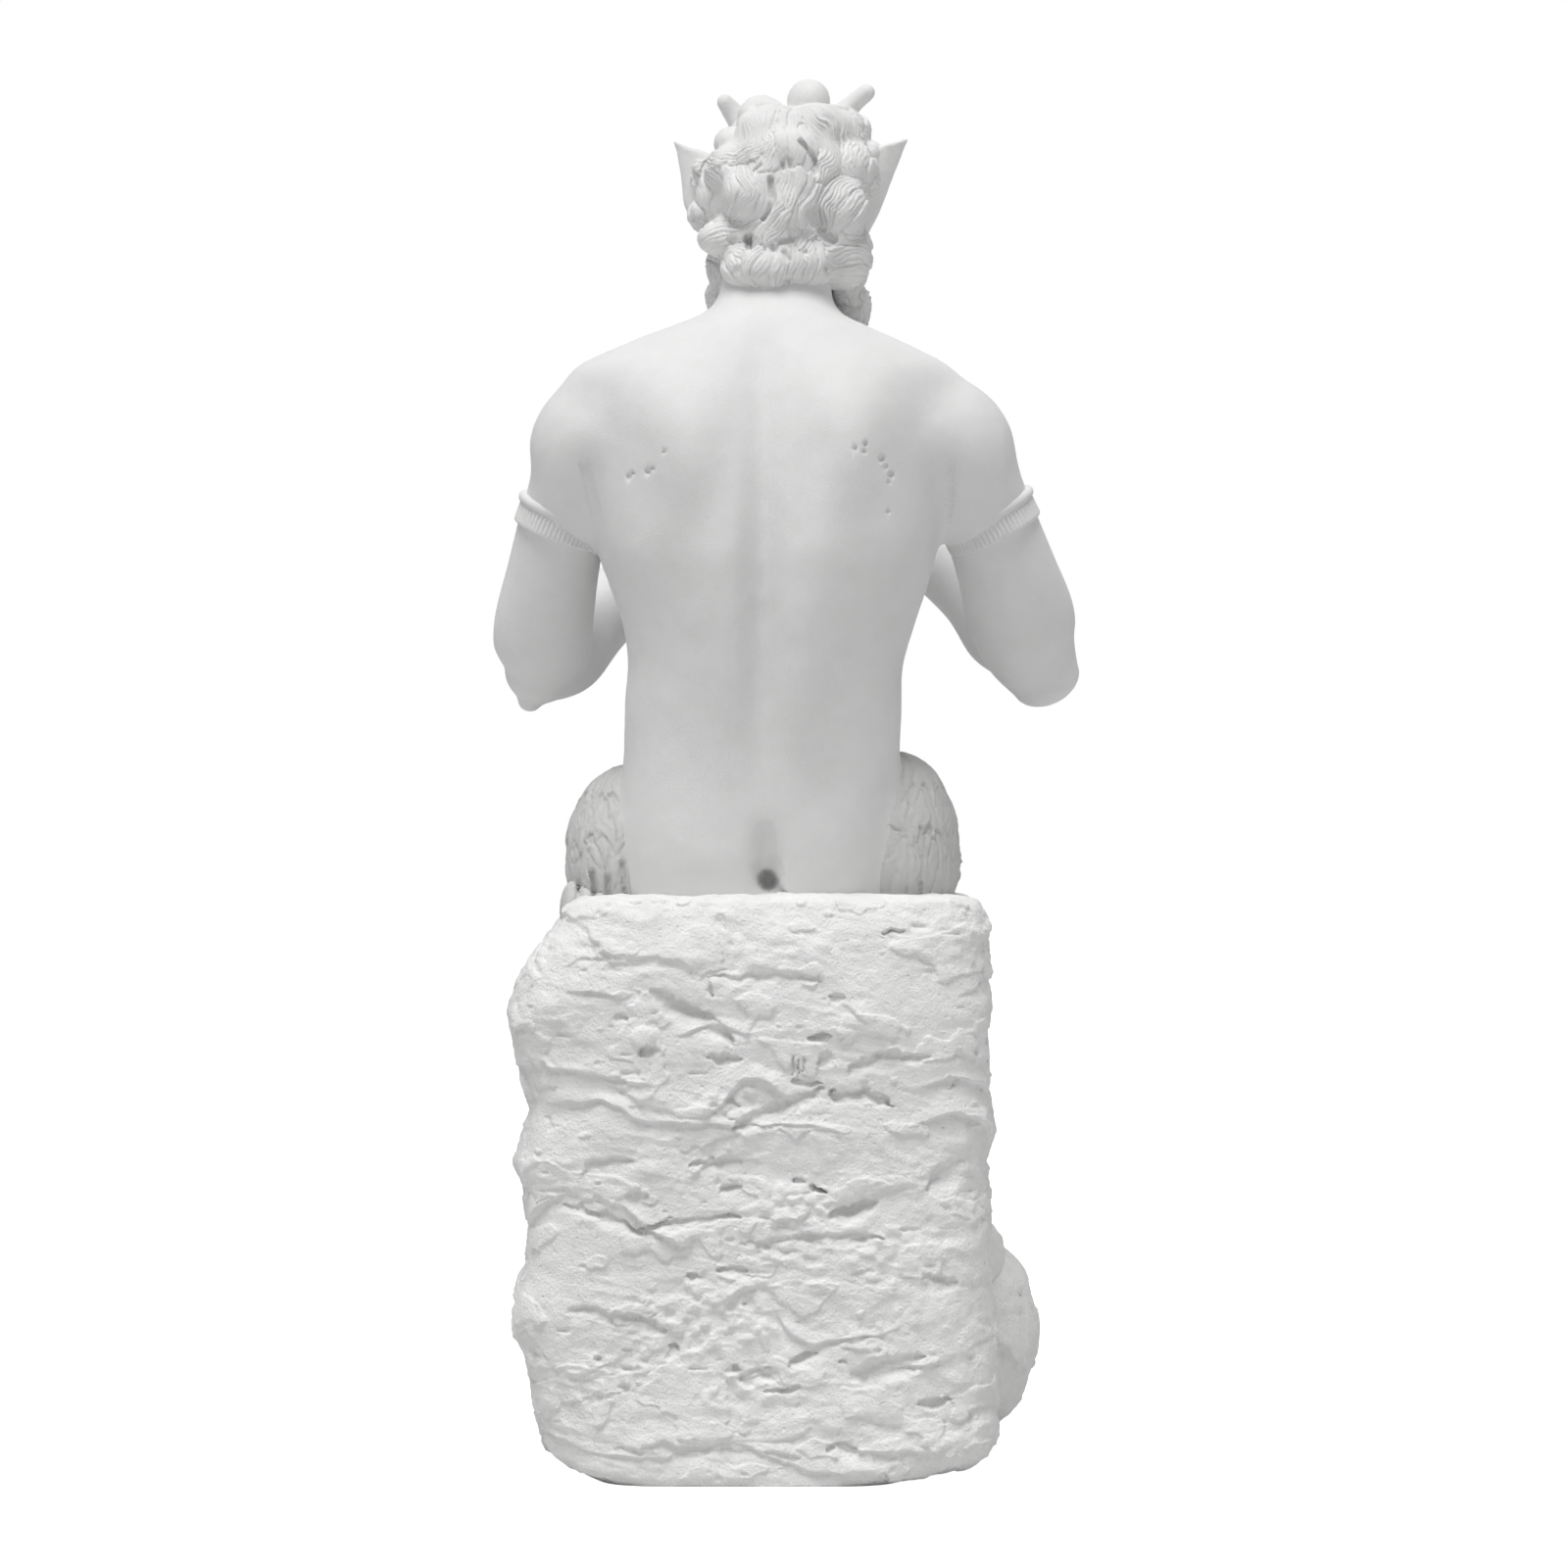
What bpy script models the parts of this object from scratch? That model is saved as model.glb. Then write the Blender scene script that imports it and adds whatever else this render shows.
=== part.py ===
"""Seated goat-legged piper on a rock, carved as one block of stone.

Metres, +Z up. The figure faces -Y, its left side is at +X, and the origin is in the underside,
below the spine. Figure stations are written as (x, y, height above the seat) at DRAWN_HEIGHT and
scaled to SITTING_HEIGHT. Rock stations are heights above the ground at DRAWN_SEAT.
"""

import bmesh
import bpy
import numpy as np

# Driving sizes
SEAT_HEIGHT = 0.575  # ground to the top of the rock
SITTING_HEIGHT = 0.815  # seat to the top of the hair
ROCK_WIDTH = 0.460  # across the back face, at mid height
ROCK_BACK = 0.168  # from the spine plane back to the rock's rear face
ROCK_FRONT = 0.250  # from the spine plane forward to the rock's front face
PINCH_START = 0.510  # height where the rock's front and rear begin to draw in
PINCH_RANGE = 0.067  # height over which they do
LEDGE_REACH = 0.470  # from the spine plane forward to the tip of the ledge under the hooves
LEDGE_HEIGHT = 0.050
THIGH_REACH = 0.355  # from the spine plane forward to the middle of the knees
PIPE_COUNT = 9
PIPE_LENGTH = 0.205  # of the longest pipe
PIPE_STEP = 0.0115  # from each pipe's length to the next
PIPE_RADIUS = 0.0085
PIPE_PITCH = 0.0155
BAND_HEIGHT = 0.030  # armlets
BAND_THICKNESS = 0.006

# Meshing sizes
VOXEL = 0.0040
TRIANGLES = 9500

# The sizes that the stations below are drawn for
DRAWN_HEIGHT = 0.815
DRAWN_SEAT = 0.575
DRAWN_ROCK_WIDTH = 0.450
DRAWN_THIGH_REACH = 0.355
FIGURE_SCALE = SITTING_HEIGHT / DRAWN_HEIGHT
LEG_STRETCH = THIGH_REACH / DRAWN_THIGH_REACH

MARBLE = (0.78, 0.78, 0.77, 1.0)
MARBLE_ROUGHNESS = 0.62


def smooth_rows(rows, per_span):
    """Catmull-Rom curve through the rows, each a list of numbers, with per_span samples a span."""
    rows = np.array(rows, float)
    padded = np.vstack([2 * rows[0] - rows[1], rows, 2 * rows[-1] - rows[-2]])
    t = np.linspace(0, 1, per_span, endpoint=False)[:, None]
    spans = []
    for i in range(len(rows) - 1):
        a, b, c, d = padded[i : i + 4]
        square = (2 * a - 5 * b + 4 * c - d) * t**2
        cube = (3 * b - a - 3 * c + d) * t**3
        spans.append(0.5 * (2 * b + (c - a) * t + square + cube))
    return np.vstack(spans + [rows[-1:]])


def skin(rings):
    """A closed mesh over rings of points, shape (rings, around, 3), with a pole in each end ring."""
    count, around = rings.shape[:2]
    points = np.vstack([rings.reshape(-1, 3), rings[0].mean(0), rings[-1].mean(0)])
    foot, head = count * around, count * around + 1
    faces = []
    for j in range(around):
        k = (j + 1) % around
        faces.append((foot, k, j))
        faces.append((head, (count - 1) * around + j, (count - 1) * around + k))
        for i in range(count - 1):
            a, b = i * around, (i + 1) * around
            faces.append((a + j, a + k, b + k, b + j))
    mesh = bpy.data.meshes.new("form")
    mesh.from_pydata(points.tolist(), [], faces)
    shape = bmesh.new()
    shape.from_mesh(mesh)
    bmesh.ops.recalc_face_normals(shape, faces=shape.faces[:])
    shape.to_mesh(mesh)
    shape.free()
    return mesh


def limb(stations, side=(1, 0, 0), around=14, per_span=3):
    """A tube with rounded ends through stations (x, y, z, half width along side, half depth)."""
    rows = smooth_rows(stations, per_span)
    centre, width, depth = rows[:, :3], rows[:, 3], rows[:, 4]
    tangent = np.gradient(centre, axis=0)
    tangent /= np.linalg.norm(tangent, axis=1, keepdims=True)
    turns = np.radians([75, 50, 25])
    shrink, reach = np.cos(turns), np.sin(turns)
    foot = centre[0] - tangent[0] * (depth[0] * reach)[:, None]
    tip = centre[-1] + tangent[-1] * (depth[-1] * reach[::-1])[:, None]
    centre = np.vstack([foot, centre, tip])
    width = np.concatenate([width[0] * shrink, width, width[-1] * shrink[::-1]])
    depth = np.concatenate([depth[0] * shrink, depth, depth[-1] * shrink[::-1]])
    tangent = np.vstack([[tangent[0]] * 3, tangent, [tangent[-1]] * 3])
    across = np.array(side, float) - tangent * (tangent @ np.array(side, float))[:, None]
    across /= np.linalg.norm(across, axis=1, keepdims=True)
    other = np.cross(tangent, across)
    angle = np.linspace(0, 2 * np.pi, around, endpoint=False)
    wide = across[:, None] * (width[:, None] * np.cos(angle))[..., None]
    deep = other[:, None] * (depth[:, None] * np.sin(angle))[..., None]
    return skin(centre[:, None] + wide + deep)


def egg(centre, radii, around=12):
    """An ellipsoid with its axes along X, Y and Z."""
    lift = np.radians(np.linspace(-80, 80, 9))
    angle = np.linspace(0, 2 * np.pi, around, endpoint=False)
    x = np.outer(np.cos(lift), np.cos(angle)) * radii[0]
    y = np.outer(np.cos(lift), np.sin(angle)) * radii[1]
    z = np.outer(np.sin(lift), np.ones(around)) * radii[2]
    return skin(np.stack([x, y, z], axis=-1) + np.array(centre))


def outline(angle, half_width, front, back, power):
    """Offsets (x, y) of a rounded-square section, with its own depth in front (-Y) and behind (+Y)."""
    cos, sin = np.cos(angle), np.sin(angle)
    x = half_width * np.sign(cos) * np.abs(cos) ** (2 / power)
    depth = np.where(sin > 0, back, front)
    return x, depth * np.sign(sin) * np.abs(sin) ** (2 / power)


def swellings(x, height, table):
    """Sum of soft bumps, each (x, height, reach in x, reach in height, rise)."""
    total = 0
    for at, level, reach, rise_reach, rise in table:
        total = total + rise * np.exp(-(((x - at) / reach) ** 2) - ((height - level) / rise_reach) ** 2)
    return total


def on_figure(stations):
    """Stations drawn from the seat up, brought to the figure's size and place."""
    placed = np.array(stations, float) * FIGURE_SCALE
    placed[:, 2] += SEAT_HEIGHT
    return placed


def figure_egg(centre, radii, around=12):
    """An ellipsoid placed and sized as part of the figure."""
    return egg(on_figure([centre])[0], np.array(radii) * FIGURE_SCALE, around)


# Trunk and neck: height above the seat, x of the middle, half width, front, back
TRUNK = [
    (-0.030, 0.014, 0.122, 0.100, 0.095),
    (0.000, 0.016, 0.129, 0.115, 0.101),
    (0.030, 0.016, 0.136, 0.125, 0.108),
    (0.065, 0.014, 0.138, 0.128, 0.112),
    (0.108, 0.010, 0.138, 0.125, 0.114),
    (0.150, 0.007, 0.138, 0.112, 0.116),
    (0.190, 0.006, 0.138, 0.102, 0.121),
    (0.225, 0.004, 0.137, 0.098, 0.127),
    (0.265, 0.001, 0.145, 0.104, 0.137),
    (0.304, 0.001, 0.158, 0.114, 0.142),
    (0.343, 0.002, 0.170, 0.124, 0.145),
    (0.400, 0.004, 0.178, 0.130, 0.144),
    (0.450, 0.004, 0.184, 0.122, 0.136),
    (0.490, 0.005, 0.192, 0.100, 0.122),
    (0.520, 0.006, 0.193, 0.080, 0.106),
    (0.545, 0.004, 0.146, 0.070, 0.090),
    (0.565, 0.000, 0.098, 0.064, 0.076),
    (0.580, -0.004, 0.066, 0.064, 0.062),
    (0.600, -0.006, 0.056, 0.070, 0.044),
    (0.640, -0.010, 0.054, 0.088, 0.028),
]

# Blades, spine, loins, buttocks and cleft: x, height above the seat, reach in x and height, rise
BACK_RELIEF = [
    (0.105, 0.455, 0.050, 0.055, 0.012),
    (-0.095, 0.455, 0.050, 0.055, 0.012),
    (0.100, 0.385, 0.055, 0.030, 0.004),
    (-0.100, 0.385, 0.055, 0.030, 0.004),
    (0.006, 0.300, 0.016, 0.200, -0.010),
    (0.006, 0.470, 0.016, 0.080, -0.006),
    (0.055, 0.240, 0.030, 0.120, 0.004),
    (-0.045, 0.240, 0.030, 0.120, 0.004),
    (0.075, 0.055, 0.060, 0.060, 0.006),
    (-0.055, 0.055, 0.060, 0.060, 0.006),
    (0.003, 0.010, 0.015, 0.034, -0.050),
    (0.003, 0.065, 0.010, 0.040, -0.012),
]

# Chest, ribs, belly and navel
FRONT_RELIEF = [
    (0.078, 0.440, 0.062, 0.046, 0.020),
    (-0.078, 0.440, 0.062, 0.046, 0.020),
    (0.000, 0.430, 0.014, 0.070, -0.008),
    (0.000, 0.350, 0.050, 0.030, -0.006),
    (0.034, 0.300, 0.026, 0.024, 0.006),
    (-0.034, 0.300, 0.026, 0.024, 0.006),
    (0.034, 0.242, 0.026, 0.024, 0.006),
    (-0.034, 0.242, 0.026, 0.024, 0.006),
    (0.000, 0.270, 0.008, 0.080, -0.006),
    (0.000, 0.140, 0.075, 0.060, 0.010),
    (0.000, 0.185, 0.010, 0.010, -0.008),
]


def trunk():
    """Trunk and neck as level rings with the muscles raised on them."""
    around = 64
    angle = np.linspace(0, 2 * np.pi, around, endpoint=False)
    behind = np.clip(np.sin(angle), 0, 1) ** 0.5
    before = np.clip(-np.sin(angle), 0, 1) ** 0.5
    rings = []
    for height, middle, half_width, front, back in smooth_rows(TRUNK, 4):
        x, y = outline(angle, half_width, front, back, 2.3)
        x = x + middle
        y = y + behind * swellings(x, height, BACK_RELIEF) - before * swellings(x, height, FRONT_RELIEF)
        rings.append(np.stack([x, y, np.full(around, height)], axis=-1))
    rings = np.array(rings) * FIGURE_SCALE
    rings[..., 2] += SEAT_HEIGHT
    return [skin(rings)]


# Arms: x, y, height above the seat, half width, half depth
LEFT_UPPER_ARM = [
    (0.110, 0.012, 0.462, 0.050, 0.056),
    (0.168, 0.006, 0.450, 0.068, 0.068),
    (0.186, -0.012, 0.410, 0.056, 0.064),
    (0.207, -0.035, 0.372, 0.044, 0.052),
    (0.218, -0.060, 0.323, 0.046, 0.052),
    (0.2285, -0.086, 0.270, 0.0505, 0.048),
    (0.230, -0.100, 0.240, 0.049, 0.042),
    (0.235, -0.108, 0.212, 0.031, 0.030),
    (0.244, -0.110, 0.192, 0.013, 0.012),
]
LEFT_FOREARM = [
    (0.234, -0.104, 0.221, 0.036, 0.033),
    (0.215, -0.138, 0.238, 0.047, 0.042),
    (0.182, -0.180, 0.272, 0.038, 0.042),
    (0.142, -0.224, 0.312, 0.034, 0.034),
    (0.108, -0.256, 0.348, 0.027, 0.023),
    (0.096, -0.262, 0.376, 0.028, 0.020),
]
RIGHT_UPPER_ARM = [
    (-0.110, 0.012, 0.462, 0.050, 0.056),
    (-0.172, 0.006, 0.450, 0.066, 0.068),
    (-0.196, -0.012, 0.410, 0.058, 0.064),
    (-0.221, -0.035, 0.372, 0.0465, 0.052),
    (-0.239, -0.060, 0.323, 0.050, 0.052),
    (-0.254, -0.086, 0.278, 0.0555, 0.048),
    (-0.264, -0.102, 0.246, 0.051, 0.042),
    (-0.281, -0.110, 0.213, 0.036, 0.026),
]
RIGHT_FOREARM = [
    (-0.262, -0.104, 0.238, 0.036, 0.034),
    (-0.242, -0.138, 0.264, 0.046, 0.042),
    (-0.205, -0.180, 0.304, 0.032, 0.042),
    (-0.166, -0.222, 0.345, 0.034, 0.034),
    (-0.138, -0.254, 0.380, 0.027, 0.023),
    (-0.130, -0.262, 0.402, 0.028, 0.020),
]
# Fullness between each shoulder and the blade beside it: middle, radii
SHOULDERS = [
    ((0.157, 0.034, 0.452), (0.052, 0.052, 0.050)),
    ((-0.153, 0.034, 0.452), (0.054, 0.052, 0.050)),
]


def arms():
    """Shoulders, upper arms and forearms."""
    made = [limb(on_figure(s)) for s in (LEFT_UPPER_ARM, LEFT_FOREARM, RIGHT_UPPER_ARM, RIGHT_FOREARM)]
    return made + [figure_egg(centre, radii) for centre, radii in SHOULDERS]


def armlets():
    """A band round each upper arm, standing BAND_THICKNESS proud of it."""
    made = []
    for arm in (LEFT_UPPER_ARM, RIGHT_UPPER_ARM):
        stations = on_figure(arm)
        rows = smooth_rows(stations, 6)
        at = rows[np.argmin(np.abs(rows[:, 2] - stations[3][2]))]
        along = stations[4][:3] - stations[2][:3]
        along /= np.linalg.norm(along)
        band = []
        for share, proud in ((-0.5, 0.0), (-0.42, 1.0), (0.42, 1.0), (0.5, 0.0)):
            place = at[:3] + along * BAND_HEIGHT * share
            band.append((*place, at[3] + BAND_THICKNESS * proud, at[4] + BAND_THICKNESS * proud))
        made.append(limb(band, around=24, per_span=1))
    return made


# The pan pipes: mouth end of the longest pipe, and the way the pipes point
PIPE_TOP = np.array([0.046, -0.160, 0.634])
PIPE_WAY = np.array([0.0, -0.35, -0.937])
STRAP_DROPS = (0.040, 0.086)

# A left hand: wrist, knuckles, finger bend, fingertips, then the thumb's root, joint and tip
HAND = np.array(
    [
        (0.098, -0.262, 0.368),
        (0.084, -0.246, 0.452),
        (0.060, -0.262, 0.456),
        (0.030, -0.254, 0.458),
        (0.094, -0.250, 0.400),
        (0.078, -0.214, 0.446),
        (0.048, -0.202, 0.470),
    ]
)
FINGER_SPREAD = (0.030, 0.011, -0.008, -0.026)
RIGHT_HAND_LIFT = 0.028


def pan_pipes():
    """Pipes side by side, stepped in length, held together by two straps."""
    start = on_figure([PIPE_TOP])[0]
    made = []
    for i in range(PIPE_COUNT):
        top = start - np.array([PIPE_PITCH * i, 0, 0])
        end = top + PIPE_WAY * (PIPE_LENGTH - PIPE_STEP * i)
        made.append(limb([(*top, PIPE_RADIUS, PIPE_RADIUS), (*end, PIPE_RADIUS, PIPE_RADIUS)], around=10))
    across = PIPE_PITCH * (PIPE_COUNT - 1) + 2 * PIPE_RADIUS
    for down in STRAP_DROPS:
        a = start + PIPE_WAY * down + np.array([PIPE_RADIUS, 0, 0])
        b = a - np.array([across, 0, 0])
        size = (0.010, PIPE_RADIUS + 0.004)
        made.append(limb([(*a, *size), (*b, *size)], side=(0, 0, 1), around=10))
    return made


def hands():
    """A palm, four fingers round the front of the pipes and a thumb behind them, on each side."""
    made = []
    pipes_middle = PIPE_TOP[0] - PIPE_PITCH * (PIPE_COUNT - 1) / 2
    for mirrored in (False, True):
        points = HAND.copy()
        if mirrored:
            points[:, 0] = 2 * pipes_middle - points[:, 0]
            points[:, 2] += RIGHT_HAND_LIFT
        wrist, knuckles, bend, tips, root, joint, thumb = points
        heart = (wrist + knuckles) / 2
        palm = [(*wrist, 0.026, 0.018), (*heart, 0.036, 0.017), (*knuckles, 0.038, 0.014)]
        made.append(limb(on_figure(palm), side=(0, 1, 0.3)))
        for spread in FINGER_SPREAD:
            rise = np.array([0, 0, spread])
            finger = [
                (*(knuckles + rise), 0.0105, 0.0105),
                (*(bend + rise), 0.010, 0.010),
                (*(tips + rise), 0.008, 0.008),
            ]
            made.append(limb(on_figure(finger), side=(0, 0, 1), around=8))
        thumb_line = [(*root, 0.016, 0.016), (*joint, 0.012, 0.012), (*thumb, 0.009, 0.009)]
        made.append(limb(on_figure(thumb_line), around=8))
    return made


# The head: middle of the skull, its radii, and how far the face turns to the figure's right
HEAD = np.array([-0.0147, -0.042, 0.700])
SKULL = np.array([0.074, 0.094, 0.088])
FACE_TURN = np.radians(7)
NAPE_SLOPE = 1.0  # share of the skull's depth lost per metre below its middle


def face_point(across, forward, up):
    """A point of the face, from the middle of the skull, in the turned head's own directions."""
    way = np.array([-np.sin(FACE_TURN), -np.cos(FACE_TURN), 0])
    left = np.array([np.cos(FACE_TURN), -np.sin(FACE_TURN), 0])
    return HEAD + left * across + way * forward + np.array([0, 0, up])


# The face's ridges, from the middle of the skull: across, forward, up, half width, half depth
NOSE = [
    (0, 0.098, 0.020, 0.009, 0.010),
    (0, 0.113, -0.010, 0.010, 0.012),
    (0, 0.116, -0.026, 0.016, 0.013),
]
BROW = [
    (0.052, 0.072, 0.018, 0.010, 0.012),
    (0, 0.094, 0.022, 0.010, 0.012),
    (-0.052, 0.072, 0.018, 0.010, 0.012),
]
LIPS = [
    (0.022, 0.088, -0.056, 0.006, 0.007),
    (0, 0.100, -0.055, 0.010, 0.010),
    (-0.022, 0.088, -0.056, 0.006, 0.007),
]


def face_ridge(table):
    """Stations of a ridge on the face, placed by face_point."""
    return on_figure([(*face_point(*row[:3]), *row[3:]) for row in table])


def head():
    """Skull, jaw, brow, nose, cheeks, lips and eyes."""
    forms = [
        figure_egg(HEAD, SKULL, 20),
        figure_egg(HEAD + np.array([0, 0.014, -0.050]), (0.064, 0.062, 0.056), 16),
        figure_egg(face_point(0, 0.038, -0.042), (0.060, 0.064, 0.072), 16),
        figure_egg(face_point(0, 0.076, -0.090), (0.026, 0.026, 0.022), 10),
    ]
    forms.append(limb(face_ridge(NOSE), around=10))
    forms.append(limb(face_ridge(BROW), side=(0, 0, 1), around=10))
    forms.append(limb(face_ridge(LIPS), side=(0, 0, 1), around=10))
    for s in (1, -1):
        forms.append(figure_egg(face_point(0.042 * s, 0.070, -0.026), (0.020, 0.020, 0.018), 10))
        forms.append(figure_egg(face_point(0.030 * s, 0.080, 0.002), (0.016, 0.012, 0.010), 10))
    return forms


# Horns and ears, from the middle of the skull: x, y, height, half width, half depth
HORNS_AND_EARS = [
    [
        (0.038, -0.030, 0.068, 0.012, 0.012),
        (0.050, -0.033, 0.085, 0.009, 0.009),
        (0.060, -0.030, 0.0975, 0.0065, 0.0065),
    ],
    [
        (-0.050, -0.030, 0.074, 0.012, 0.012),
        (-0.066, -0.033, 0.093, 0.009, 0.009),
        (-0.081, -0.030, 0.1075, 0.0080, 0.0080),
    ],
    [
        (0.070, -0.006, -0.042, 0.008, 0.012),
        (0.082, -0.008, -0.020, 0.016, 0.018),
        (0.089, -0.006, 0.004, 0.018, 0.018),
        (0.094, -0.002, 0.028, 0.014, 0.015),
        (0.111, 0.004, 0.052, 0.004, 0.005),
    ],
    [
        (-0.072, -0.006, -0.048, 0.008, 0.012),
        (-0.084, -0.008, -0.022, 0.016, 0.018),
        (-0.096, -0.006, 0.004, 0.019, 0.018),
        (-0.107, -0.002, 0.028, 0.013, 0.015),
        (-0.1225, 0.004, 0.052, 0.004, 0.005),
    ],
]


def horns_and_ears():
    """Two small horns and two long pointed ears."""
    made = []
    for stations in HORNS_AND_EARS:
        rows = np.array(stations)
        rows[:, :3] += HEAD
        made.append(limb(on_figure(rows), around=12))
    return made


# Curls on the back of the head: x and height from the middle of the skull, radius, start, winding
BACK_CURLS = [
    (-0.050, 0.066, 0.016, 20, 1),
    (0.041, -0.003, 0.026, 120, -1),
    (-0.056, -0.008, 0.024, 60, 1),
    (-0.022, -0.020, 0.016, 100, -1),
    (0.057, -0.046, 0.020, 140, -1),
    (0.046, -0.074, 0.015, 200, 1),
    (0.020, -0.070, 0.016, 90, -1),
    (-0.006, -0.074, 0.015, 70, 1),
    (-0.032, -0.068, 0.016, 60, 1),
    (-0.060, -0.060, 0.021, 20, -1),
]
# Plain rounded curls and masses: x, y and height from the middle of the skull, then radii
DOMES = [
    (-0.0255, -0.004, 0.0965, 0.0215, 0.023, 0.0225),
    (0.018, -0.008, 0.080, 0.024, 0.022, 0.0190),
    (0.053, 0.018, 0.057, 0.018, 0.023, 0.0175),
    (-0.065, -0.004, 0.070, 0.020, 0.024, 0.018),
    (-0.084, -0.002, 0.043, 0.0165, 0.024, 0.0135),
    (-0.080, 0.006, 0.018, 0.016, 0.030, 0.024),
    (0.078, 0.010, 0.020, 0.010, 0.016, 0.018),
    (0.081, 0.012, -0.018, 0.0135, 0.018, 0.0140),
    (-0.061, 0.012, -0.062, 0.022, 0.032, 0.024),
    (0.055, 0.030, -0.047, 0.022, 0.030, 0.016),
    (0.002, 0.056, -0.078, 0.050, 0.026, 0.020),
]
# Locks that hang down the back of the head: x and height of four points, and half width
BACK_LOCKS = [
    ((0.012, 0.078), (0.014, 0.058), (0.004, 0.040), (-0.002, 0.024), 0.020),
    ((-0.020, 0.078), (-0.022, 0.056), (-0.034, 0.034), (-0.030, 0.012), 0.015),
    ((-0.044, 0.072), (-0.054, 0.052), (-0.060, 0.034), (-0.056, 0.016), 0.014),
    ((-0.002, 0.022), (0.008, 0.000), (0.014, -0.020), (0.006, -0.046), 0.014),
    ((0.028, -0.080), (0.022, -0.088), (0.014, -0.094), (0.012, -0.104), 0.009),
    ((-0.014, -0.078), (-0.016, -0.086), (-0.018, -0.092), (-0.022, -0.098), 0.010),
]
# Curls out of the photo's sight: degrees round from the back, degrees up, radius
OTHER_CURLS = [(turn, 44, 0.021) for turn in (112, 146, 180, 214, 248)]
OTHER_CURLS += [(turn, 16, 0.020) for turn in (108, 134, 226, 252)]
OTHER_CURLS += [(turn, 70, 0.022) for turn in (90, 162, 234)]


def behind_skull(x, height):
    """The point of the skull's rear half, or of the nape below it, at this x and height."""
    share = 1 - (x / SKULL[0]) ** 2 - (max(height, 0) / SKULL[2]) ** 2
    nape = 1 - NAPE_SLOPE * max(-height, 0)
    return HEAD + np.array([x, SKULL[1] * np.sqrt(np.clip(share, 0.01, 1)) * nape, height])


def curl(centre, radius, start, winding):
    """A lock wound one turn round a centre and rising towards it."""
    out = (centre - HEAD) / SKULL**2
    out /= np.linalg.norm(out)
    right = np.cross([0, 0, 1], out)
    right /= np.linalg.norm(right)
    up = np.cross(out, right)
    stations = []
    for share in np.linspace(0, 1, 7):
        turn = np.radians(start + winding * 330 * share)
        reach = radius * (0.66 - 0.52 * share)
        point = centre + reach * (right * np.cos(turn) + up * np.sin(turn)) + out * radius * 0.30 * share
        thick = radius * (0.46 - 0.14 * share)
        stations.append((*point, thick, thick))
    return limb(on_figure(stations), side=out, around=8, per_span=2)


def hair():
    """Curls and hanging locks over the whole head but the face."""
    made = [figure_egg(HEAD + np.array(dome[:3]), dome[3:]) for dome in DOMES]
    for x, height, radius, start, winding in BACK_CURLS:
        made.append(curl(behind_skull(x, height), radius, start, winding))
    for *path, half_width in BACK_LOCKS:
        stations = []
        for share, (x, height) in zip((1.0, 1.0, 0.9, 0.5), path):
            point = behind_skull(x, height) + np.array([0, 0.004, 0])
            stations.append((*point, half_width * share, 0.013 * share))
        made.append(limb(on_figure(stations), around=10))
    for i, (turn, lift, radius) in enumerate(OTHER_CURLS):
        a, e = np.radians(turn), np.radians(lift)
        out = np.array([np.cos(e) * np.sin(a), np.cos(e) * np.cos(a), np.sin(e)])
        made.append(curl(HEAD + SKULL * out, radius, 80 * i, 1 - 2 * (i % 2)))
    return made


# Beard locks: degrees round from the face, drop of the root from the middle of the skull, length, radius
BEARD = [
    (-100, -0.066, 0.040, 0.020),
    (-80, -0.104, 0.040, 0.018),
    (-74, -0.066, 0.050, 0.018),
    (-50, -0.076, 0.052, 0.019),
    (-26, -0.086, 0.056, 0.018),
    (0, -0.092, 0.060, 0.018),
    (26, -0.086, 0.056, 0.018),
    (50, -0.076, 0.052, 0.019),
    (74, -0.066, 0.050, 0.017),
    (88, -0.098, 0.046, 0.024),
    (100, -0.066, 0.036, 0.025),
]


def beard():
    """Wavy locks from the cheeks and chin down to the pipes."""
    made = []
    for i, (turn, drop, length, radius) in enumerate(BEARD):
        a = np.radians(turn)
        root = face_point(0.064 * np.sin(a), 0.030 + 0.058 * np.cos(a), drop)
        sway = 0.010 * np.sin(2.4 * i)
        middle = root + np.array([sway, -0.006 * np.cos(a), -length * 0.45])
        tip = root + np.array([-sway * 0.6, 0.0, -length])
        wide = radius * 0.95
        narrow = radius * 0.5
        stations = [(*root, radius, radius), (*middle, wide, wide), (*tip, narrow, narrow)]
        made.append(limb(on_figure(stations), around=8))
    return made


# Goat legs: x from the middle, y, height above the seat, half width, half height
LEG_MIDDLE = 0.006
HIPS = [
    ((0.134, -0.045, 0.035), (0.0725, 0.095, 0.095)),
    ((-0.122, -0.045, 0.040), (0.0705, 0.095, 0.104)),
    ((LEG_MIDDLE, -0.100, 0.040), (0.070, 0.060, 0.056)),
]
THIGH = [
    (0.094, -0.030, 0.036, 0.070, 0.080),
    (0.114, -0.090, 0.046, 0.070, 0.080),
    (0.128, -0.200, 0.044, 0.061, 0.072),
    (0.138, -0.310, 0.028, 0.055, 0.060),
    (0.142, -0.355, 0.010, 0.051, 0.052),
]
KNEE = THIGH[-1]
HOCK = (0.160, -0.262, 0.49)  # x from the middle, y, share of the way up from the ledge to the knee
FETLOCK = (0.164, -0.322, 0.17)
TOE = (0.166, -0.352, 0.03)


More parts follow.
